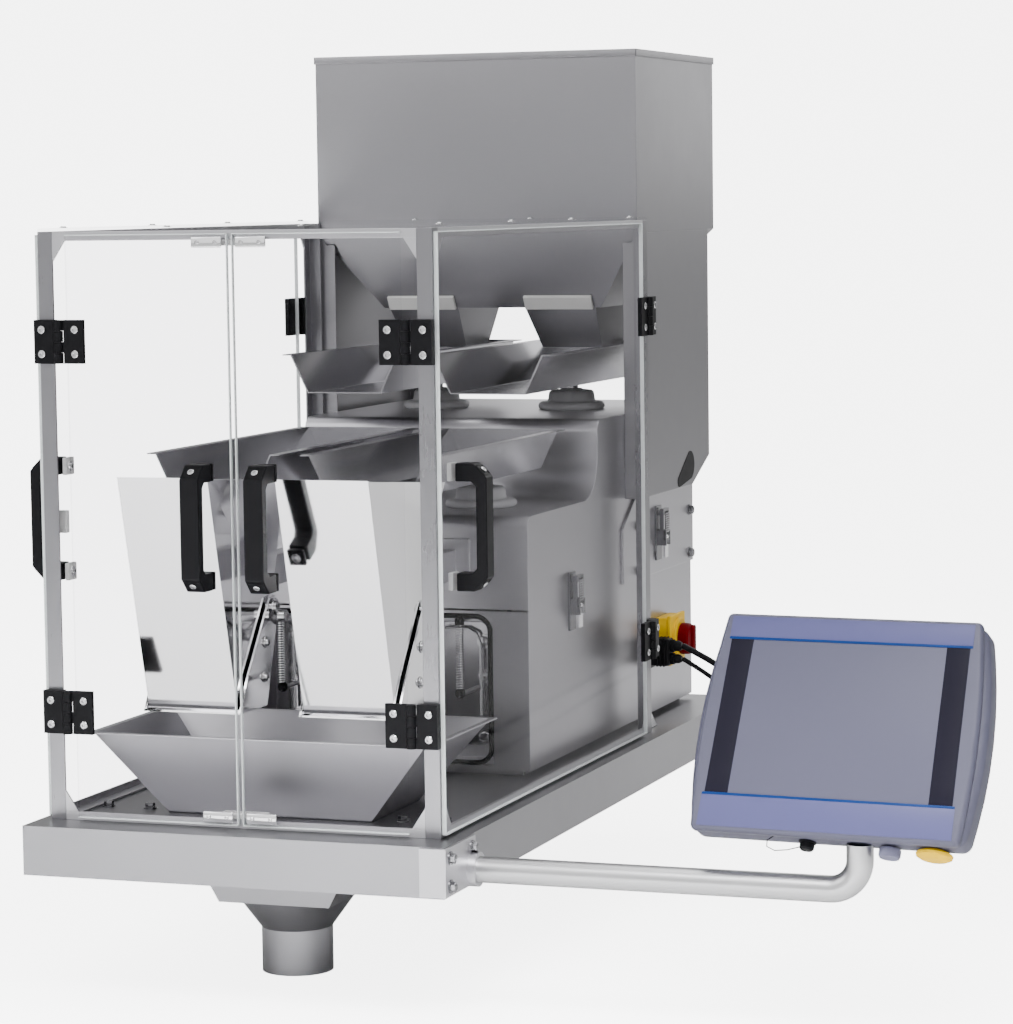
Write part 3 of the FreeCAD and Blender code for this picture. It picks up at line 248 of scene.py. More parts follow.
def polished(shader):
    haze = shader.noise(shader.place(), 9.0, 4, 0.6)
    ripple = shader.noise(shader.place(), 5.0, 1, 0.4)
    scratches = shader.noise(shader.place((40, 40, 900)), 1.0, 2, 0.6)
    colour = shader.mix(haze, (0.90, 0.90, 0.91), (0.96, 0.96, 0.97))
    return shader.node("ShaderNodeBsdfPrincipled", inputs={
        "Base Color": colour, "Metallic": 1.0, "Roughness": 0.03 + haze * 0.06 + (scratches ** 6) * 0.3,
        "Normal": shader.bump(ripple, 0.12, 0.002)})["BSDF"]


def plastic(low, high, rough, gloss=0.3, grain=900.0, depth=0.00006):
    # Moulded or painted, with fine pores and slightly uneven wear.
    def build(shader):
        pores = shader.noise(shader.place(), grain, 2, 0.5)
        cloud = shader.noise(shader.place(), 14.0, 3, 0.6)
        wear = shader.noise(shader.place(), 120.0, 4, 0.7)
        colour = shader.mix(cloud * 0.6 + pores * 0.4, low, high)
        return shader.node("ShaderNodeBsdfPrincipled", inputs={
            "Base Color": colour, "Roughness": rough + (cloud - 0.5) * 0.14 + (wear - 0.5) * 0.08,
            "Specular IOR Level": gloss,
            "Normal": shader.bump(pores, 0.45, depth)})["BSDF"]
    return build


def clearSheet(shader):
    # Clear sheet: see-through, with a thin gloss that strengthens at a glancing angle.
    smear = shader.noise(shader.place((1, 1, 0.4)), 7.0, 4, 0.6)
    gloss = shader.node("ShaderNodeBsdfPrincipled", inputs={
        "Base Color": shader.mix(smear, (0.02, 0.02, 0.02), (0.035, 0.035, 0.035)),
        "Roughness": 0.02 + smear * 0.05, "Metallic": 0.0})["BSDF"]
    through = shader.node("ShaderNodeBsdfTransparent", inputs={"Color": (0.990, 0.988, 0.992, 1)})["BSDF"]
    edge = shader.node("ShaderNodeFresnel", inputs={"IOR": 1.25})["Fac"]
    shine = edge * 0.16 + 0.003 + smear * 0.003
    return shader.node("ShaderNodeMixShader", inputs={0: shine, 1: through, 2: gloss})["Shader"]


def siliconeRubber(shader):
    cloud = shader.noise(shader.place(), 30.0, 3, 0.6)
    dust = shader.noise(shader.place(), 260.0, 3, 0.6)
    return shader.node("ShaderNodeBsdfPrincipled", inputs={
        "Base Color": shader.mix(cloud, (0.50, 0.50, 0.52), (0.62, 0.62, 0.64)), "Roughness": 0.38 + dust * 0.2,
        "Subsurface Weight": 0.25, "Subsurface Radius": (0.01, 0.01, 0.01), "Subsurface Scale": 0.5,
        "Normal": shader.bump(dust, 0.3, 0.0001)})["BSDF"]


def screenGlass(shader):
    # The unlit panel behind its cover sheet, with a painted sheen that makes it a little lighter towards the middle.
    paintedSheen = shader.noise(shader.place(), 1.6, 1, 0.4)
    dots = shader.noise(shader.place(), 2200.0, 1, 0.4)
    return shader.node("ShaderNodeBsdfPrincipled", inputs={
        # The colour is lightened by a soft noise that paints a sheen on the unlit panel.
        "Base Color": shader.mix(paintedSheen * 0.7 + dots * 0.3, (0.068, 0.068, 0.102), (0.075, 0.075, 0.112)),
        "Roughness": 0.42 + dots * 0.06, "Specular IOR Level": 0.12,
        "Normal": shader.bump(dots, 0.2, 0.00003)})["BSDF"]


steels = {  # tone, streak scale, roughness and, where it differs, the grain
    "brushedSteel": ((0.50, 0.495, 0.518), (30, 30, 700), 0.36),
    "brushedAlong": ((0.25, 0.248, 0.262), (900, 14, 900), 0.33),
    "hopperSteel": ((0.27, 0.267, 0.281), (12, 12, 700), 0.40),
    "frameSteel": ((0.23, 0.228, 0.242), (300, 300, 5), 0.30, 0.03),
    "railSteel": ((0.50, 0.496, 0.517), (9, 9, 500), 0.36, 0.03),
    "darkSteel": ((0.20, 0.20, 0.21), (300, 300, 300), 0.24),
    "tubeSteel": ((0.50, 0.50, 0.51), (12, 600, 600), 0.34),
    "panSteel": ((0.42, 0.417, 0.435), (300, 8, 300), 0.20, 0.03),
    "boltSteel": ((0.62, 0.62, 0.63), (300, 300, 300), 0.20)}
plastics = {  # slot, darker and lighter tone, roughness, then gloss, grain scale and grain depth
    "blackPlastic": ("black_plastic", (0.003, 0.003, 0.004), (0.007, 0.007, 0.008), 0.40, 0.08),
    "blackRubber": ("black_rubber", (0.003, 0.003, 0.003), (0.008, 0.008, 0.008), 0.6, 0.06),
    "cableRubber": ("cable_rubber", (0.006, 0.006, 0.007), (0.010, 0.010, 0.011), 0.42, 0.15),
    "whitePlastic": ("white_plastic", (0.66, 0.66, 0.64), (0.78, 0.78, 0.76), 0.45),
    "catchPlastic": ("dark_plastic", (0.42, 0.42, 0.42), (0.52, 0.52, 0.52), 0.4),
    "housingPaint": ("housing_paint", (0.060, 0.060, 0.090), (0.072, 0.072, 0.105), 0.45, 0.2, 700.0, 0.00008),
    "bandPaint": ("housing_paint", (0.060, 0.061, 0.148), (0.069, 0.070, 0.162), 0.42, 0.15, 1200.0, 0.00003),
    "blueLine": ("housing_paint", (0.0, 0.018, 0.10), (0.001, 0.024, 0.125), 0.4, 0.1),
    "darkStrip": ("screen_glass", (0.008, 0.0075, 0.013), (0.011, 0.010, 0.017), 0.45, 0.04),
    "yellowPlastic": ("yellow_plastic", (0.76, 0.46, 0.0), (0.84, 0.52, 0.001), 0.38, 0.08, 500.0, 0.00003),
    "redPlastic": ("red_plastic", (0.11, 0.0, 0.002), (0.15, 0.0, 0.004), 0.40, 0.05, 500.0, 0.00003),
    "greyPlastic": ("grey_plastic", (0.11, 0.11, 0.18), (0.14, 0.14, 0.21), 0.4),
    # painted highlight: the whitish tone of the strips that stand in for light catching the clear sheets' edges
    "panelEdge": ("clear_panel", (0.60, 0.64, 0.64), (0.72, 0.75, 0.75), 0.3),
    "drivePaint": ("drive_paint", (0.05, 0.07, 0.09), (0.07, 0.09, 0.11), 0.4)}
for name, look in steels.items():
    finish(name, "brushed_steel", brushed(*look))
for name, (slot, *look) in plastics.items():
    finish(name, slot, plastic(*look))
finish("mirrorSteel", "mirror_steel", polished)
finish("clearPanel", "clear_panel", clearSheet)
finish("silicone", "silicone", siliconeRubber)
finish("screenGlass", "screen_glass", screenGlass)

makeCamera()
makeStudio()
print("camera, light and finishes made")


# Making pieces.

crisp = 32  # degrees: sharper corners stay hard


def addPiece(name, mesh, finishName, body, stands=(), bevel=0.0, segments=2):
    piece = placed(name, mesh)
    mesh.materials.append(finishes[finishName])
    if bevel:
        edge = piece.modifiers.new("roundedEdges", "BEVEL")
        edge.width = bevel
        edge.segments = segments
        edge.limit_method = "ANGLE"
        edge.angle_limit = math.radians(crisp)
        edge.harden_normals = True
        edge.use_clamp_overlap = True
    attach(piece, body)
    slotOf[finishName]
    if stands:
        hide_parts(*stands)


def asMesh(name, form, sharp=crisp):
    # Turns a bmesh into a mesh with smooth curves and crisp corners.
    for face in form.faces:
        face.smooth = True
    for edge in form.edges:
        edge.smooth = len(edge.link_faces) == 2 and edge.calc_face_angle(0) < math.radians(sharp)
    mesh = bpy.data.meshes.new(name)
    form.to_mesh(mesh)
    form.free()
    return mesh


def addForm(name, form, finishName, body, stands=(), sharp=crisp, bevel=0.0):
    # Cleans a new shape and adds it as a piece.
    bmesh.ops.remove_doubles(form, verts=form.verts, dist=1e-6)
    bmesh.ops.recalc_face_normals(form, faces=form.faces)
    addPiece(name, asMesh(name, form, sharp), finishName, body, stands, bevel)


def softened(node, finishName, bevel, segments=2):
    # A merged copy of a CAD node with its bends and corners rounded.
    form = bmesh.new()
    form.from_mesh(nodes[node].data)
    bmesh.ops.remove_doubles(form, verts=form.verts, dist=2e-6)
    bmesh.ops.dissolve_limit(form, angle_limit=math.radians(0.6), verts=form.verts, edges=form.edges,
                             use_dissolve_boundaries=False)
    addPiece(node + "_soft", asMesh(node, form), finishName, nodeBody[node], (node,), bevel, segments)


def moved(form, verts, place, turn):
    bmesh.ops.transform(form, matrix=Matrix.Translation(place) @ turn.to_4x4(), verts=verts)
    return verts


def addBlock(form, low, high, bevel=0.0, segments=2):
    verts = bmesh.ops.create_cube(form, size=1.0)["verts"]
    bmesh.ops.scale(form, vec=[b - a for a, b in zip(low, high)], verts=verts)
    bmesh.ops.translate(form, vec=[(a + b) / 2 for a, b in zip(low, high)], verts=verts)
    if bevel:
        edges = list({edge for vert in verts for edge in vert.link_edges})
        made = bmesh.ops.bevel(form, geom=edges, offset=bevel, segments=segments, profile=0.5, affect="EDGES",
                               material=-1)
        verts = list({vert for face in made["faces"] for vert in face.verts} | {v for v in verts if v.is_valid})
    return verts


def joined(verts):
    # Every vertex that edges join to these.
    found, grow = set(verts), list(verts)
    while grow:
        for edge in grow.pop().link_edges:
            for vert in edge.verts:
                if vert not in found:
                    found.add(vert)
                    grow.append(vert)
    return found


def addTurned(form, profile, steps=40):
    # Spins (radius, height) stations about Z.
    verts = [form.verts.new((radius, 0, height)) for radius, height in profile]
    edges = [form.edges.new(pair) for pair in zip(verts, verts[1:])]
    bmesh.ops.spin(form, geom=verts + edges, cent=(0, 0, 0), axis=(0, 0, 1), angle=2 * math.pi,
                   steps=steps, use_merge=True, use_duplicate=False)
    return list(joined(verts))


def facing(direction):
    # Turns +Z to the given direction.
    return Vector(direction).to_track_quat("Z", "Y").to_matrix()


def capScrew(form, place, direction, radius=0.0045, height=0.0035, washer=True):
    # A domed socket-head screw on a washer.
    profile = [(0, height * 0.15), (radius * 0.48, height * 0.15), (radius * 0.52, height), (radius * 0.8, height),
               (radius, height * 0.72), (radius, 0.0006)]
    if washer:
        profile += [(radius * 1.5, 0.0006), (radius * 1.55, 0)]
    profile += [(0, 0)]
    moved(form, addTurned(form, profile, 20), place, facing(direction))


def hexBolt(form, place, direction, radius=0.0075, height=0.0055):
    # A six-sided head with a softened rim, on a thin disc.
    disc = 0.0014
    head = bmesh.ops.create_cone(form, cap_ends=True, segments=6, radius1=radius, radius2=radius, depth=height)["verts"]
    bmesh.ops.translate(form, vec=(0, 0, height / 2 + disc), verts=head)
    rim = [edge for edge in {e for v in head for e in v.link_edges} if all(v.co.z > height for v in edge.verts)]
    made = bmesh.ops.bevel(form, geom=rim, offset=radius * 0.12, segments=2, profile=0.5, affect="EDGES", material=-1)
    head = list({v for v in head if v.is_valid} | {v for f in made["faces"] for v in f.verts})
    head += addTurned(form, [(0, 0), (radius * 1.35, 0), (radius * 1.35, disc), (0, disc)], 24)
    moved(form, head, place, facing(direction))


def screwPiece(name, screws, finishName, body, stands=(), hexed=False, **shape):
    form = bmesh.new()
    for place, direction in screws:
        (hexBolt if hexed else capScrew)(form, place, direction, **shape)
    addForm(name, form, finishName, body, stands)


def addRod(form, start, end, radius, steps=16, bevel=0.0):
    length = (end - start).length
    lip = min(bevel, radius * 0.6)
    profile = [(0, 0), (radius - lip, 0), (radius, lip), (radius, length - lip), (radius - lip, length), (0, length)]
    moved(form, addTurned(form, profile, steps), start, facing(end - start))


def addHelix(form, foot, radius, wire, turns, height, steps=22):
    # A coil wound up the Z axis from foot.
    ring = bmesh.ops.create_circle(form, segments=8, radius=wire)["verts"]
    bmesh.ops.rotate(form, matrix=Matrix.Rotation(math.pi / 2, 3, "X"), verts=ring)
    bmesh.ops.translate(form, vec=Vector(foot) + Vector((radius, 0, 0)), verts=ring)
    edges = list({edge for vert in ring for edge in vert.link_edges})
    count = turns * steps
    bmesh.ops.spin(form, geom=ring + edges, cent=foot, axis=(0, 0, 1), angle=2 * math.pi * turns, steps=count,
                   dvec=(0, 0, height / count))


def addTube(form, points, radius, cyclic=False, sides=4):
    # A round wire through the points.
    curve = bpy.data.curves.new("wirePath", "CURVE")
    curve.dimensions = "3D"
    curve.bevel_depth = radius
    curve.bevel_resolution = sides
    curve.use_fill_caps = True
    line = curve.splines.new("POLY")
    line.points.add(len(points) - 1)
    for point, place in zip(line.points, points):
        point.co = (*place, 1)
    line.use_cyclic_u = cyclic
    holder = bpy.data.objects.new("wirePath", curve)
    mesh = bpy.data.meshes.new_from_object(holder)
    form.from_mesh(mesh)
    bpy.data.objects.remove(holder)
    bpy.data.curves.remove(curve)
    bpy.data.meshes.remove(mesh)


def addHull(form, circles, along, thick):
    # The hull round some discs (centre, radius) facing one way.
    verts = []
    for centre, radius in circles:
        for lift in (0, thick):
            disc = bmesh.ops.create_circle(form, segments=28, radius=radius)["verts"]
            bmesh.ops.translate(form, vec=(0, 0, lift), verts=disc)
            verts += moved(form, disc, centre, facing(along))
    made = bmesh.ops.convex_hull(form, input=verts)
    spare = [v for v in made["geom_interior"] + made["geom_unused"] if isinstance(v, bmesh.types.BMVert)]
    bmesh.ops.delete(form, geom=list(set(spare)), context="VERTS")


def looseBoxes(node):
    # The box of each separate solid in a CAD node.
    form = bmesh.new()
    form.from_mesh(nodes[node].data)
    bmesh.ops.remove_doubles(form, verts=form.verts, dist=1e-5)
    left, boxes = set(form.verts), []
    while left:
        solid = joined([next(iter(left))])
        left -= solid
        places = [vert.co for vert in solid]
        boxes.append((Vector(map(min, *places)), Vector(map(max, *places))))
    form.free()
    return sorted(boxes, key=lambda pair: tuple(round(c, 4) for c in pair[0]))


def vectorBox(node):
    return [Vector(corner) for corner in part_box(node)]


def shifted(spot, points):
    return [Vector(spot) + Vector(point) for point in points]


# CAD nodes whose shape is right get rounded edges and their own finish.
roundedNodes = {
    "base_tray": ("brushedAlong", 0.0014), "guard_posts": ("frameSteel", 0.0005), "guard_rails": ("railSteel", 0.0005),
    "cabinet_shell": ("brushedSteel", 0.0008), "cabinet_front_panel": ("brushedSteel", 0.0005),
    "recess_tray": ("brushedSteel", 0.0004),
    "side_brackets": ("brushedSteel", 0.0008), "hopper_shell": ("hopperSteel", 0.0007),
    "column_cheeks": ("hopperSteel", 0.0008), "bucket_left": ("mirrorSteel", 0.0004),
    "bucket_right": ("mirrorSteel", 0.0004), "gate_left": ("mirrorSteel", 0.0005),
    "gate_right": ("mirrorSteel", 0.0005), "bucket_hangers": ("brushedSteel", 0.001),
    "load_cells": ("brushedSteel", 0.001), "collecting_funnel": ("brushedSteel", 0.0005),
    "discharge_spout": ("hopperSteel", 0.0005), "arm_bracket": ("brushedSteel", 0.0008),
    "arm_tube": ("tubeSteel", 0.0004), "pan_upper_left": ("panSteel", 0.0004), "pan_upper_right": ("panSteel", 0.0004),
    "pan_lower_left": ("panSteel", 0.0004), "pan_lower_right": ("panSteel", 0.0004),
    "slide_gate_left": ("whitePlastic", 0.0012), "slide_gate_right": ("whitePlastic", 0.0012),
    "vibrator_drives": ("drivePaint", 0.002),
    "door_front_left": ("clearPanel", 0.0008), "door_front_right": ("clearPanel", 0.0008),
    "door_side_left": ("clearPanel", 0.0008), "door_side_right": ("clearPanel", 0.0008),
    "top_panel": ("clearPanel", 0.0008)}

for node, (finishName, bevel) in roundedNodes.items():
    softened(node, finishName, bevel)
print("sheet metal and clear panels done")


# Floor.

def paleFloor(shader):
    # A plain floor, lit like the backdrop where the camera sees it.
    cloud = shader.noise(shader.place(), 3.0, 2, 0.5)
    seen = shader.node("ShaderNodeLightPath")["Is Camera Ray"]
    return shader.node("ShaderNodeBsdfPrincipled", inputs={
        "Base Color": shader.mix(cloud, (0.80, 0.80, 0.80), (0.84, 0.84, 0.84)), "Roughness": 0.9,
        "Specular IOR Level": 0.1, "Emission Color": shader.mix(seen, (0, 0, 0), (1, 1, 1)),
        "Emission Strength": 5.2})["BSDF"]


def makeFloor():
    form = bmesh.new()
    bmesh.ops.create_grid(form, x_segments=2, y_segments=2, size=9.0)
    bmesh.ops.translate(form, vec=(0, 2.0, cadBox[0][2] - 0.012), verts=form.verts)
    floor = placed("studioFloor", asMesh("studioFloor", form))
    floor.data.materials.append(finishes["paleFloor"])


finish("paleFloor", None, paleFloor)
makeFloor()


# Doors: hinges, handles, strike plates and the whitish strips that paint highlights on the sheet edges.

outward = {"front_left": (0, -1, 0), "front_right": (0, -1, 0), "side_left": (-1, 0, 0), "side_right": (1, 0, 0)}
doorBody = {key: "door_%s_body" % key for key in outward}
hinge = {"bevel": 0.0011, "pin": 0.006, "screwRise": 0.012, "screwIn": 0.0225, "screwRadius": 0.0048,
         "screwHigh": 0.0030}


def makeHinges():
    softened("hinge_bases", "blackPlastic", hinge["bevel"], 3)
    screws = {body: [] for body in ["machine", *doorBody.values()]}
    for key, out in outward.items():
        softened("hinge_leaves_" + key, "blackPlastic", hinge["bevel"], 3)
        across, deep = (0, 1) if out[1] else (1, 0)
        side = 1 if key == "front_left" else -1  # from the pin towards the door
        for low, high in looseBoxes("hinge_leaves_" + key):
            pin = low[across] + hinge["pin"] if side > 0 else high[across] - hinge["pin"]
            face = high[deep] - hinge["pin"] if out[deep] < 0 else low[deep] + hinge["pin"]
            for z in (low.z + hinge["screwRise"], high.z - hinge["screwRise"]):
                for body, step in ((doorBody[key], side), ("machine", -side)):
                    spot = Vector((0, 0, z))
                    spot[across] = pin + step * hinge["screwIn"]
                    spot[deep] = face
                    screws[body].append((spot, out))
    for body, found in screws.items():
        screwPiece("hingeScrews_" + body, found, "boltSteel", body, radius=hinge["screwRadius"],
                   height=hinge["screwHigh"], washer=False)


handle = {"bevel": 0.0016, "foot": 0.011, "chamfer": 0.0085, "pad": 0.011, "padNear": 0.0052, "padFar": 0.0112,
          "pocketWide": 0.0105, "pocketHigh": 0.0084, "rim": 0.0012, "rimHigh": 0.0009, "screw": 0.0042}


def makeHandles():
    # Bow handles on square pads, with a framed screw pocket at each corner.
    pad, w, h, rim = (handle[part] for part in ("pad", "pocketWide", "pocketHigh", "rim"))
    pocket = ((-w, h - rim, w, h), (-w, -h, w, rim - h), (-w, -h, rim - w, h), (w - rim, -h, w, h))
    for key in outward:
        softened("handle_" + key, "blackPlastic", handle["bevel"], 3)
        low, high = vectorBox("handle_" + key)
        out = Vector(outward[key])
        middle = (low + high) / 2
        reach = (high - low).dot(Vector(map(abs, out))) / 2
        pads, rims, nuts, heads = bmesh.new(), bmesh.new(), [], []
        for end, sign in ((low.z, 1), (high.z, -1)):
            foot = Vector((middle.x, middle.y, end + sign * handle["foot"])) - out * reach
            block = addBlock(pads, (-pad, -pad, handle["padNear"]), (pad, pad, handle["padFar"]), 0.0012)
            moved(pads, block, foot, facing(-out))
            nuts.append((foot - out * handle["padFar"], -out))
            corner = Vector((middle.x, middle.y, end + sign * handle["chamfer"])) + out * (reach - handle["chamfer"])
            slope = (out - Vector((0, 0, sign))).normalized()
            heads.append((corner, slope))
            for x0, y0, x1, y1 in pocket:
                bar = addBlock(rims, (x0, y0, -0.0002), (x1, y1, handle["rimHigh"]), 0.0003)
                moved(rims, bar, corner, facing(slope))
        body = doorBody[key]
        addForm("handlePads_" + key, pads, "blackPlastic" if out.y else "catchPlastic", body)
        addForm("handlePockets_" + key, rims, "blackPlastic", body)
        screwPiece("handleNuts_" + key, nuts, "boltSteel", body, radius=handle["screw"], height=0.003)
        screwPiece("handleScrews_" + key, heads, "boltSteel", body, radius=handle["screw"], height=0.0022,
                   washer=False)


strike = {"width": 0.040, "tall": 0.013, "thick": 0.0035, "fromEdge": 0.006, "fromEnd": 0.004, "screw": 0.0026}


def makeStrikes():
    # Small strike plates where the front doors meet.
    for key, side in (("front_left", -1), ("front_right", 1)):
        low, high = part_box("door_" + key)
        start = (high[0] if side < 0 else low[0]) + side * strike["fromEdge"]
        x0, x1 = sorted((start, start + side * strike["width"]))
        front = low[1] - strike["thick"]
        form, screws = bmesh.new(), []
        for z in (low[2] + strike["fromEnd"], high[2] - strike["fromEnd"] - strike["tall"]):
            addBlock(form, (x0, front, z), (x1, low[1] - 0.0002, z + strike["tall"]), 0.0016, 3)
            screws += [((x0 + share * strike["width"], front, z + strike["tall"] / 2), (0, -1, 0))
                       for share in (0.2, 0.8)]
        addForm("strikePlates_" + key, form, "mirrorSteel", doorBody[key])
        screwPiece("strikeScrews_" + key, screws, "boltSteel", doorBody[key], radius=strike["screw"], height=0.0014,
                   washer=False)


edgeHighlightSize = {"wide": 0.0013, "proud": 0.0002}


def makeEdgeHighlights():
    # A whitish strip along each edge of the clear sheets, a painted highlight, but not where a front door meets its
    # post.
    for key in outward:
        low, high = vectorBox("door_" + key)
        across = 0 if outward[key][1] else 1
        edges = [(2, low), (2, high), (across, low), (across, high)]
        if across == 0:
            edges.pop(2 if key.endswith("left") else 3)
        form = bmesh.new()
        for along, corner in edges:
            a, b = low.copy(), high.copy()
            if corner is low:
                b[along] = low[along] + edgeHighlightSize["wide"]
            else:
                a[along] = high[along] - edgeHighlightSize["wide"]
            a[1 - across] -= edgeHighlightSize["proud"]
            b[1 - across] += edgeHighlightSize["proud"]
            addBlock(form, a, b, 0.0003)
        addForm("sheetEdges_" + key, form, "panelEdge", doorBody[key])


makeHinges()
makeHandles()
makeStrikes()
makeEdgeHighlights()
softened("door_catches", "catchPlastic", 0.0012)
print("door fittings done")


# Bolts, latches, springs, boots.

bolt = {"radius": 0.0062, "high": 0.0058, "flat": 0.006}


def makeBolts():
    # The flat ones stand upright, the others point out of the cabinet's sides.
    screws = []
    for low, high in looseBoxes("machine_bolts"):
        spot = (low + high) / 2
        if (high - low).z < bolt["flat"]:
            spot.z, out = low.z, (0, 0, 1)
        elif spot.x < 0:
            spot.x, out = high.x, (-1, 0, 0)
        else:
            spot.x, out = low.x, (1, 0, 0)
        screws.append((spot, out))
    screwPiece("machineBolts", screws, "darkSteel", "machine", ("machine_bolts",), hexed=True, radius=bolt["radius"],
               height=bolt["high"])


latchSpring = {"apart": 0.0045, "sunk": 0.0005, "rise": 0.036, "long": 0.030, "radius": 0.0022, "wire": 0.0005,
               "turns": 9}


def makeLatches():
    softened("latch_bases", "darkSteel", 0.0007, 3)
    for key in ("front", "rear"):
        softened("latch_lever_" + key, "mirrorSteel", 0.0008, 3)
        low, high = vectorBox("latch_lever_" + key)
        form = bmesh.new()
        for side in (-1, 1):
            foot = (high.x - latchSpring["sunk"], (low.y + high.y) / 2 + side * latchSpring["apart"],
                    low.z + latchSpring["rise"])
            addHelix(form, foot, latchSpring["radius"], latchSpring["wire"], latchSpring["turns"],
                     latchSpring["long"])
        addForm("latchSprings_" + key, form, "boltSteel", "machine")


spring = {"radius": 0.0048, "wire": 0.0009, "turns": 26, "end": 0.012, "cap": 0.0135, "capRadius": 0.0062,
          "pin": 0.0075, "pinRadius": 0.0045}


def makeSprings():
    coils, ends = bmesh.new(), bmesh.new()
    for low, high in looseBoxes("return_springs"):
        middle = (low + high) / 2
        foot = Vector((middle.x, middle.y, low.z + spring["end"]))
        addHelix(coils, foot, spring["radius"], spring["wire"], spring["turns"], high.z - low.z - 2 * spring["end"])
        for z in (low.z + 0.001, high.z - 0.001 - spring["cap"]):
            a, b, c, d = shifted((middle.x, middle.y, z), [(0, 0, 0), (0, 0, spring["cap"]),
                                                           (0, -spring["pin"], 0.007), (0, spring["pin"], 0.007)])
            addRod(ends, a, b, spring["capRadius"], 20, 0.003)
            addRod(ends, c, d, spring["pinRadius"], 16, 0.001)
    addForm("returnSprings", coils, "boltSteel", "machine", ("return_springs",))
    addForm("springEnds", ends, "blackRubber", "machine")


boot = {"profile": [  # radius and height, from the foot up and back down inside the neck
    (0.0135, 0.0), (0.046, 0.0), (0.0482, 0.0016), (0.0490, 0.0045), (0.0482, 0.0080), (0.0455, 0.0105),
    (0.0400, 0.0116), (0.0372, 0.0112), (0.0355, 0.0124), (0.0345, 0.0150), (0.0338, 0.0200), (0.0330, 0.0245),
    (0.0305, 0.0272), (0.0250, 0.0282), (0.0205, 0.0278), (0.0170, 0.0286), (0.0160, 0.0300), (0.0135, 0.0305),
    (0.0135, 0.028), (0.0135, 0.0)]}


def makeBoots():
    form = bmesh.new()
    for low, high in looseBoxes("deck_boots"):
        foot = ((low.x + high.x) / 2, (low.y + high.y) / 2, low.z)
        moved(form, addTurned(form, boot["profile"], 48), foot, Matrix.Identity(3))
    addForm("stemBoots", form, "silicone", "machine", ("deck_boots",), sharp=50)


makeBolts()
makeLatches()
makeSprings()
makeBoots()
print("bolts, latches, springs and boots done")


# Cabinet details.

recess = {"corner": 0.020, "seal": 0.0034, "sealFront": 0.0024, "deep": 0.062, "plateEdges": (0.052, 0.022),
          "plateCorner": 0.016, "wire": 0.0022, "wireIn": 0.034, "wireFront": 0.012,
          "wireBend": [(0.050, 0.026), (0.018, 0.026), (0.006, 0.032), (0, 0.046)],
          "boltIn": 0.032, "boltRadius": 0.0072, "boltHigh": 0.006}


def roundedPath(low, high, corner, steps=8):
    # A rounded rectangle in X and Z.
    points = []
    for number, (x, z) in enumerate(((high[0], high[2]), (low[0], high[2]), (low[0], low[2]), (high[0], low[2]))):
        cx = x - corner if x == high[0] else x + corner
        cz = z - corner if z == high[2] else z + corner
        for step in range(steps + 1):
            angle = math.pi / 2 * (number + step / steps)
            points.append((cx + corner * math.cos(angle), low[1], cz + corner * math.sin(angle)))
    return points


def makeRecess():
    # The seal round the opening, and a plate, a bent wire and three bolts for each lane on its back wall.
    low, high = vectorBox("recess_gasket")
    inset = Vector((recess["seal"], 0, recess["seal"]))
    a, b = low + inset, high - inset
    a.y = b.y = low.y + recess["sealFront"]
    form = bmesh.new()
    addTube(form, roundedPath(a, b, recess["corner"]), recess["seal"], True)
    addForm("recessSeal", form, "blackRubber", "machine", ("recess_gasket",), sharp=60)
    back = low.y + recess["deep"]
    plates, wires, screws = bmesh.new(), bmesh.new(), []
    near, far = recess["plateEdges"]
    for side in (-1, 1):
        x0, x1 = sorted((side * near, side * (high.x - far)))
        addBlock(plates, (x0, back - 0.0044, low.z + 0.018), (x1, back - 0.0004, high.z - 0.018))
        edge = side * (high.x - recess["wireIn"])
        front = back - recess["wireFront"]
        path = [(edge - side * inward, front, high.z - drop) for inward, drop in recess["wireBend"]]
        addTube(wires, path + [(edge, front, low.z + 0.060)], recess["wire"])
        screws += [((side * (high.x - recess["boltIn"]), back - 0.0046, z), (0, -1, 0))
                   for z in (low.z + 0.030, low.z + 0.112, high.z - 0.044)]
    upright = [edge for edge in plates.edges if abs(edge.verts[0].co.y - edge.verts[1].co.y) > 0.003]
    bmesh.ops.bevel(plates, geom=upright, offset=recess["plateCorner"], segments=6, profile=0.5, affect="EDGES",
                    material=-1)
    addForm("recessPlates", plates, "panSteel", "machine", bevel=0.0007)
    addForm("recessWires", wires, "boltSteel", "machine")
    screwPiece("recessScrews", screws, "boltSteel", "machine", hexed=True, radius=recess["boltRadius"],
               height=recess["boltHigh"])


clip = {"spot": (0, 0.020, -0.0006),  # from the pan's front lower edge; the rest from this spot
        "blocks": [((-0.004, 0, -0.0022), (0.030, 0.016, 0), 0.0006, 2),
                   ((0.002, 0.002, -0.011), (0.022, 0.014, -0.002), 0.0026, 3)],
        "loop": [(0.006, 0.001, -0.007), (-0.026, 0.002, -0.011), (-0.033, 0.005, -0.012),
                 (-0.033, 0.011, -0.012), (-0.026, 0.014, -0.011), (0.006, 0.015, -0.007)],
        "lever": [(0.020, 0.008, -0.008), (0.000, 0.008, -0.016), (-0.018, 0.008, -0.017)],
        "loopWire": 0.0016, "leverWire": 0.0026,
        "catch": ((-0.062, 0.046, -0.013), (-0.040, 0.062, -0.0006))}


def makeClips():
    # Toggle clips under the upper pans' front lips, and the rubber catch between the lanes.
    for side, x in laneX.items():
        low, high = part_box("pan_upper_" + side)
        spot = Vector((x, low[1], low[2])) + Vector(clip["spot"])
        form = bmesh.new()
        for a, b, bevel, segments in clip["blocks"]:
            addBlock(form, *shifted(spot, (a, b)), bevel, segments)
        addTube(form, shifted(spot, clip["loop"]), clip["loopWire"])
        addTube(form, shifted(spot, clip["lever"]), clip["leverWire"])
        addForm("toggleClip_" + side, form, "mirrorSteel", "pan_upper_%s_body" % side)
    low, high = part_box("pan_upper_left")
    form = bmesh.new()
    addBlock(form, *shifted((high[0], low[1], low[2]), clip["catch"]), 0.003, 3)
    addForm("panCatch", form, "blackRubber", "pan_upper_left_body")
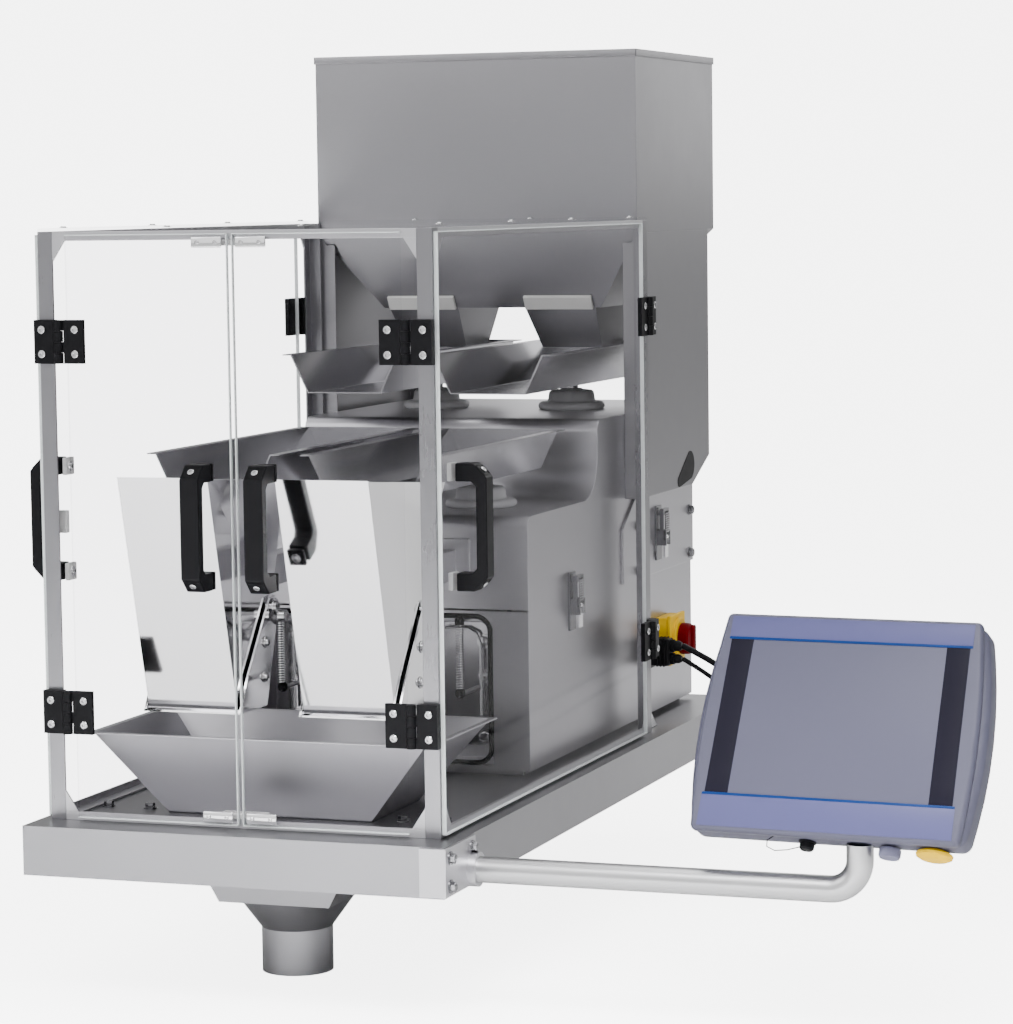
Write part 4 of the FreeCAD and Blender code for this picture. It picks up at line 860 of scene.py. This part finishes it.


# painted shade: the ends and thickness of the thin black sheet behind the rear latch
sideSlot = {"ends": [((0.527, 0.426), 0.021), ((0.470, 0.405), 0.008)], "sunk": 0.0004, "thick": 0.0010}
gusset = {"outline": [(0, 0.0004), (0.048, 0.0004), (0.048, 0.004), (0, 0.044)], "thick": 0.0016, "in": 0.010,
          "foot": (0.012, 0.056)}
topScrew = {"in": 0.010, "along": (0.06, 0.36, 0.64, 0.94), "across": (0.33, 0.67), "radius": 0.0036,
            "high": 0.0022}


def makeSideDetails():
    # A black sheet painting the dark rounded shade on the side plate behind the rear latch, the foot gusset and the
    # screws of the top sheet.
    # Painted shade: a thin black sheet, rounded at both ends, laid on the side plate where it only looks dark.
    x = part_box("column_cheeks")[1][0] - sideSlot["sunk"]
    form = bmesh.new()
    addHull(form, [((x, y, z), radius) for (y, z), radius in sideSlot["ends"]], (1, 0, 0), sideSlot["thick"])
    addForm("sideSlot", form, "blackPlastic", "machine")
    post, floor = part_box("guard_posts")[1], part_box("base_tray")[1][2]
    px, py = post[0] - gusset["in"], post[1] + 0.0006
    form = bmesh.new()
    for dx in (0, gusset["thick"]):
        for dy, dz in gusset["outline"]:
            form.verts.new((px + dx, py + dy, floor + dz))
    bmesh.ops.convex_hull(form, input=form.verts[:])
    wide, long = gusset["foot"]
    addBlock(form, (px - wide, py, floor + 0.0003), (px + gusset["thick"], py + long, floor + 0.0018), 0.0004)
    addForm("footGusset", form, "boltSteel", "machine")
    low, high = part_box("top_panel")
    screws = [((x, low[1] + share * (high[1] - low[1]), high[2]), (0, 0, 1))
              for x in (low[0] + topScrew["in"], high[0] - topScrew["in"]) for share in topScrew["along"]]
    screws += [((low[0] + share * (high[0] - low[0]), y, high[2]), (0, 0, 1))
               for y in (low[1] + topScrew["in"], high[1] - topScrew["in"]) for share in topScrew["across"]]
    screwPiece("topScrews", screws, "boltSteel", "machine", radius=topScrew["radius"], height=topScrew["high"])


hopperFold = {"tall": 0.010, "thick": 0.0018, "above": 0.0004, "gap": 0.0001}


def makeHopperRim():
    # The folded rim round the hopper's top edge.
    low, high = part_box("hopper_shell")
    gap, thick = hopperFold["gap"], hopperFold["thick"]
    left, right, front, back = low[0] - thick, high[0] + thick, low[1] - thick, high[1] + thick
    bottom, top = high[2] - hopperFold["tall"], high[2] + hopperFold["above"]
    form = bmesh.new()
    for x0, y0, x1, y1 in ((left, front, right, low[1] - gap), (left, high[1] + gap, right, back),
                           (left, front, low[0] - gap, back), (high[0] + gap, front, right, back)):
        addBlock(form, (x0, y0, bottom), (x1, y1, top), 0.0006)
    addForm("hopperRim", form, "hopperSteel", "machine")


makeRecess()
makeClips()
makeSideDetails()
makeHopperRim()
print("cabinet details done")


# Bucket linkage. Places across are from the lane's middle, the others are (Y, Z).

linkage = {"pivot": (-0.390, 0.312), "capOut": 0.0690, "screwOut": 0.0672,
           "screws": [(-0.418, 0.270), (-0.424, 0.226)], "pusherOut": 0.078,
           "toggle": [(-0.386, 0.300), (-0.300, 0.262), (-0.230, 0.292)], "root": -0.1492, "collar": -0.163}


def makeLinkage():
    # Pivot caps, gate screws and the pusher on the inner side of each bucket.
    for side, x in laneX.items():
        caps = [((x + sign * linkage["capOut"], *linkage["pivot"]), (sign, 0, 0)) for sign in (-1, 1)]
        screwPiece("pivotCaps_" + side, caps, "boltSteel", "machine", radius=0.0072, height=0.004)
        screws = [((x + sign * linkage["screwOut"], *place), (sign, 0, 0))
                  for sign in (-1, 1) for place in linkage["screws"]]
        screwPiece("gateScrews_" + side, screws, "boltSteel", "gate_%s_body" % side, radius=0.0050, height=0.0045)
        inward = -1 if x > 0 else 1
        a, b, c = (Vector((x + inward * linkage["pusherOut"], *place)) for place in linkage["toggle"])
        root, collar = (Vector((c.x, y, c.z)) for y in (linkage["root"], linkage["collar"]))
        form = bmesh.new()
        addRod(form, a, b, 0.0035, 16, 0.001)
        addRod(form, b, c, 0.0042, 16, 0.001)
        for spot in (a, b):
            addRod(form, *shifted(spot, [(-inward * 0.007, 0, 0), (inward * 0.005, 0, 0)]), 0.0078, 20, 0.0015)
        addRod(form, c, root, 0.009, 24, 0.002)
        addRod(form, collar, root, 0.014, 24, 0.002)
        addForm("gatePushers_" + side, form, "boltSteel", "machine")


makeLinkage()
print("bucket linkage done")


# Main switch.

switch = {"boxIn": 0.003, "boxDeep": 0.0195, "plateDeep": 0.0060, "dialAt": 0.0253,
          "dial": [(0, 0), (0.031, 0), (0.031, 0.004), (0.0295, 0.0056), (0, 0.0056)],
          "knob": [(0, 0), (0.0225, 0), (0.0235, 0.003), (0.0228, 0.0135), (0.0205, 0.0165), (0.016, 0.0175),
                   (0, 0.0178)],
          "gripFrom": 0.013, "gripWide": 0.0065, "gripTall": 0.0205}


def makeSwitch():
    low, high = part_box("switch_base")
    knobLow, knobHigh = vectorBox("switch_knob")
    centre = (knobLow + knobHigh) / 2
    centre.x = knobLow.x
    inset, step = switch["boxIn"], low[0] + switch["boxDeep"]
    form = bmesh.new()
    addBlock(form, (low[0], low[1] + inset, low[2] + inset), (step, high[1] - inset, high[2] - inset), 0.003, 4)
    addForm("switchBox", form, "yellowPlastic", "machine")
    form = bmesh.new()
    addBlock(form, (step, low[1], low[2]), (step + switch["plateDeep"], high[1], high[2]), 0.0022, 4)
    dialSpot = (low[0] + switch["dialAt"], centre.y, centre.z)
    moved(form, addTurned(form, switch["dial"], 48), dialSpot, facing((1, 0, 0)))
    addForm("switchPlate", form, "yellowPlastic", "machine", ("switch_base",))
    form = bmesh.new()
    moved(form, addTurned(form, switch["knob"], 48), centre, facing((1, 0, 0)))
    addBlock(form, (centre.x + switch["gripFrom"], centre.y - switch["gripWide"], centre.z - switch["gripTall"]),
             (knobHigh.x, centre.y + switch["gripWide"], centre.z + switch["gripTall"]), 0.0026, 4)
    addForm("switchKnob", form, "redPlastic", "switch_knob_body", ("switch_knob",))


makeSwitch()
print("main switch done")


# Operator display.

display = {"tilt": -27.3, "turn": -4.2, "halfWide": 0.165, "above": 0.130, "below": 0.142, "bezel": 0.016,
           "depth": 0.052, "bulge": 0.009, "taper": 0.012, "glassWide": 0.152, "glassHigh": 0.096,
           "panelWide": 0.123, "panelHigh": 0.0925, "edge": 0.155, "line": 0.0030, "glands": (-0.084, -0.050),
           "gland": [(0, 0), (0.0115, 0), (0.0115, 0.005), (0.0095, 0.006), (0.0095, 0.012), (0.0075, 0.0148),
                     (0, 0.0148)]}
displayTurn = (Matrix.Rotation(math.radians(display["turn"]), 3, "Z")
               @ Matrix.Rotation(math.radians(display["tilt"]), 3, "X"))
displaySpot = sum(vectorBox("hmi_screen"), Vector()) / 2 - displayTurn @ Vector((0, 0.00165, 0))


def inDisplay(x, y, z):
    return displaySpot + displayTurn @ Vector((x, y, z))


def displayForm(blocks, segments=2, slices=8, swell=0.0):
    # Blocks drawn flat, sliced across, bulged at the sides like the housing and stood in place.
    form = bmesh.new()
    for low, high, bevel in blocks:
        addBlock(form, low, high, bevel, segments)
    half = (display["above"] + display["below"]) / 2
    middle = display["above"] - half
    for number in range(1, slices):
        bmesh.ops.bisect_plane(form, geom=form.verts[:] + form.edges[:] + form.faces[:],
                               plane_co=(0, 0, middle - half + number * 2 * half / slices), plane_no=(0, 0, 1))
    for vert in form.verts:
        height = (vert.co.z - middle) / half
        bulge = swell * display["bulge"] * (1 - height * height) - display["taper"] / 4 * (height + 1)
        vert.co.x += vert.co.x / display["halfWide"] * bulge
    moved(form, form.verts, displaySpot, displayTurn)
    return form


def makeDisplay():
    d = display
    wide, above, below, edge, glass = d["halfWide"], d["above"], d["below"], d["edge"], d["glassHigh"]
    front = [((-wide + 0.002, 0, -below), (wide - 0.002, d["bezel"], above), 0.0062)]
    addForm("displayBezel", displayForm(front, 5, swell=1.0), "housingPaint", "machine", ("hmi_bezel",))
    back = [((-wide - 0.001, d["bezel"] - 0.006, -below + 0.003), (wide + 0.001, d["depth"], above - 0.003), 0.010)]
    form = displayForm(back, 5, swell=1.6)
    for x in d["glands"]:
        spot = inDisplay(x, d["depth"] - 0.001, -0.044)
        moved(form, addTurned(form, d["gland"], 28), spot, facing(displayTurn @ Vector((0, 1, 0))))
    addForm("displayHousing", form, "housingPaint", "machine", ("hmi_housing",))
    bands = [((-edge, -0.0006, low), (edge, 0.0004, high), 0.0003)
             for low, high in ((glass + d["line"], above - 0.005), (-below + 0.005, -glass - d["line"]))]
    addForm("displayBands", displayForm(bands), "bandPaint", "machine")
    lines = [((-edge, -0.0007, z), (edge, 0.0004, z + d["line"]), 0.0003) for z in (-glass - d["line"], glass)]
    addForm("displayLines", displayForm(lines), "blueLine", "machine")
    strips = [((x0, -0.0005, -glass), (x1, 0.0006, glass), 0.0003)
              for x0, x1 in ((-d["glassWide"], -d["panelWide"]), (d["panelWide"], d["glassWide"]))]
    addForm("displayStrips", displayForm(strips), "darkStrip", "machine")
    form = bmesh.new()
    tall = d["panelHigh"] + 0.003
    addBlock(form, (-d["panelWide"], -0.0003, -tall), (d["panelWide"], 0.0006, tall), 0.0003)
    moved(form, form.verts, displaySpot, displayTurn)
    addForm("displayPanel", form, "screenGlass", "machine", ("hmi_screen",))


# The fittings under the display: finish, body, CAD node, place, steps round, and (radius, depth) stations.
fittings = {
    "stopCollar": ("yellowPlastic", "machine", "stop_housing", (0.126, 0.0385), 32,
                   [(0, 0), (0.0130, 0), (0.0130, 0.0018), (0, 0.0018)]),
    "stopButton": ("yellowPlastic", "stop_button_body", "stop_button", (0.126, 0.0385), 48,
                   [(0, 0), (0.006, 0), (0.006, 0.0040), (0.0205, 0.0043), (0.0220, 0.0060), (0.0212, 0.0090),
                    (0.0165, 0.0115), (0.008, 0.0126), (0, 0.0126)]),
    "clampKnob": ("greyPlastic", "clamp_knob_body", "clamp_knob", (0.074, 0.034), 40,
                  [(0, 0.0003), (0.004, 0.0003), (0.004, 0.003), (0.0118, 0.0032), (0.0130, 0.0045),
                   (0.0130, 0.012), (0.0115, 0.0148), (0, 0.0150)]),
    "portCap": ("blackPlastic", "machine", "hmi_cap", (-0.027, 0.034), 32,
                [(0, 0), (0.0105, 0), (0.0105, 0.003), (0.0088, 0.0035), (0.0088, 0.0095), (0.0070, 0.0118),
                 (0, 0.0118)])}
tether = {"wire": 0.0007, "path": [
    (-0.027, 0.034, 0), (-0.034, 0.028, -0.004), (-0.046, 0.022, -0.010), (-0.060, 0.018, -0.013),
    (-0.070, 0.017, -0.009), (-0.071, 0.018, -0.001), (-0.062, 0.020, 0.007), (-0.050, 0.022, 0.010),
    (-0.040, 0.026, 0.006)]}


def makeDisplayFittings():
    under = -display["below"] + 0.004
    down = facing(displayTurn @ Vector((0, 0, -1)))
    for name, (finishName, body, node, place, steps, stations) in fittings.items():
        form = bmesh.new()
        moved(form, addTurned(form, stations, steps), inDisplay(*place, under), down)
        addForm(name, form, finishName, body, (node,))
    form = bmesh.new()
    addTube(form, [inDisplay(x, y, under - 0.006 + z) for x, y, z in tether["path"]], tether["wire"], sides=2)
    addForm("capTether", form, "blackRubber", "machine", sharp=60)


makeDisplay()
makeDisplayFittings()
print("display done")


# Cables.

cables = {
    "power_cable": {"diameter": 0.009, "length": 1.034, "route": [
        (0.27280, 0.38800, 0.17100), (0.33762, 0.36448, 0.14770), (0.38858, 0.31943, 0.11858),
        (0.43183, 0.26525, 0.09246), (0.46977, 0.20561, 0.07024), (0.50357, 0.14217, 0.05218),
        (0.53384, 0.07592, 0.03850), (0.56090, 0.00752, 0.02949), (0.58490, -0.06249, 0.02554),
        (0.60580, -0.13357, 0.02715), (0.62345, -0.20511, 0.03498), (0.63755, -0.27631, 0.04986),
        (0.64760, -0.34605, 0.07274), (0.65281, -0.41271, 0.10459), (0.65180, -0.47529, 0.14422)]},
    "data_cable": {"diameter": 0.007, "length": 1.068, "route": [
        (0.27280, 0.38800, 0.15200), (0.33785, 0.36484, 0.12243), (0.38992, 0.32090, 0.08786),
        (0.43555, 0.26740, 0.05781), (0.47662, 0.20781, 0.03306), (0.51396, 0.14387, 0.01382),
        (0.54795, 0.07669, 0.00028), (0.57875, 0.00708, -0.00728), (0.60634, -0.06426, -0.00850),
        (0.63059, -0.13659, -0.00289), (0.65121, -0.20908, 0.01011), (0.66779, -0.28072, 0.03114),
        (0.67973, -0.35019, 0.06077), (0.68621, -0.41588, 0.09934), (0.68571, -0.47778, 0.14422)]}}
plug = {  # blocks are (near, far, half width, half height, bevel, segments), with near and far along X
    "blocks": [(0, 0.004, 0.019, 0.025, 0.0012, 2), (0.004, 0.0335, 0.0125, 0.020, 0.003, 4),
               (0.0138, 0.0168, 0.0137, 0.021, 0.001, 2), (0.0190, 0.0220, 0.0137, 0.021, 0.001, 2),
               (0.0242, 0.0272, 0.0137, 0.021, 0.001, 2)],
    "glands": [(0.0045, 0.009), (0.0035, -0.010)],  # cable radius and height
    "gland": [(0.005, 0), (0.005, 0.005), (0.0035, 0.006), (0.0032, 0.012), (0.0010, 0.0165)]}


def makeCables():
    for name, cable in cables.items():
        curve = bpy.data.curves.new(name + "_lead", "CURVE")
        curve.dimensions = "3D"
        curve.bevel_depth = cable["diameter"] / 2
        curve.bevel_resolution = 5
        curve.use_fill_caps = True
        line = curve.splines.new("NURBS")
        line.points.add(len(cable["route"]) - 1)
        for point, place in zip(line.points, cable["route"]):
            point.co = (*place, 1)
        line.order_u = 3
        line.use_endpoint_u = True
        line.resolution_u = 10
        lead = placed(name + "_lead", curve)
        curve.materials.append(finishes["cableRubber"])
        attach(lead, "machine")
        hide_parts(name)
        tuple(cable["route"][0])
        cable["length"]
        cable["diameter"]


def makePlug():
    # A ribbed plug with a tapered gland for each cable.
    low, high = vectorBox("cable_plug")
    root = (low + high) / 2
    root.x = low.x
    form = bmesh.new()
    for near, far, wide, tall, bevel, segments in plug["blocks"]:
        addBlock(form, *shifted(root, [(near, -wide, -tall), (far, wide, tall)]), bevel, segments)
    for radius, rise in plug["glands"]:
        stations = [(0, 0)] + [(radius + more, along) for more, along in plug["gland"]] + [(0, plug["gland"][-1][1])]
        moved(form, addTurned(form, stations, 32), root + Vector((0.0335, 0, rise)), facing((1, 0, 0)))
    addForm("cablePlug", form, "blackPlastic", "machine", ("cable_plug",))


makeCables()
makePlug()
print("cables done")
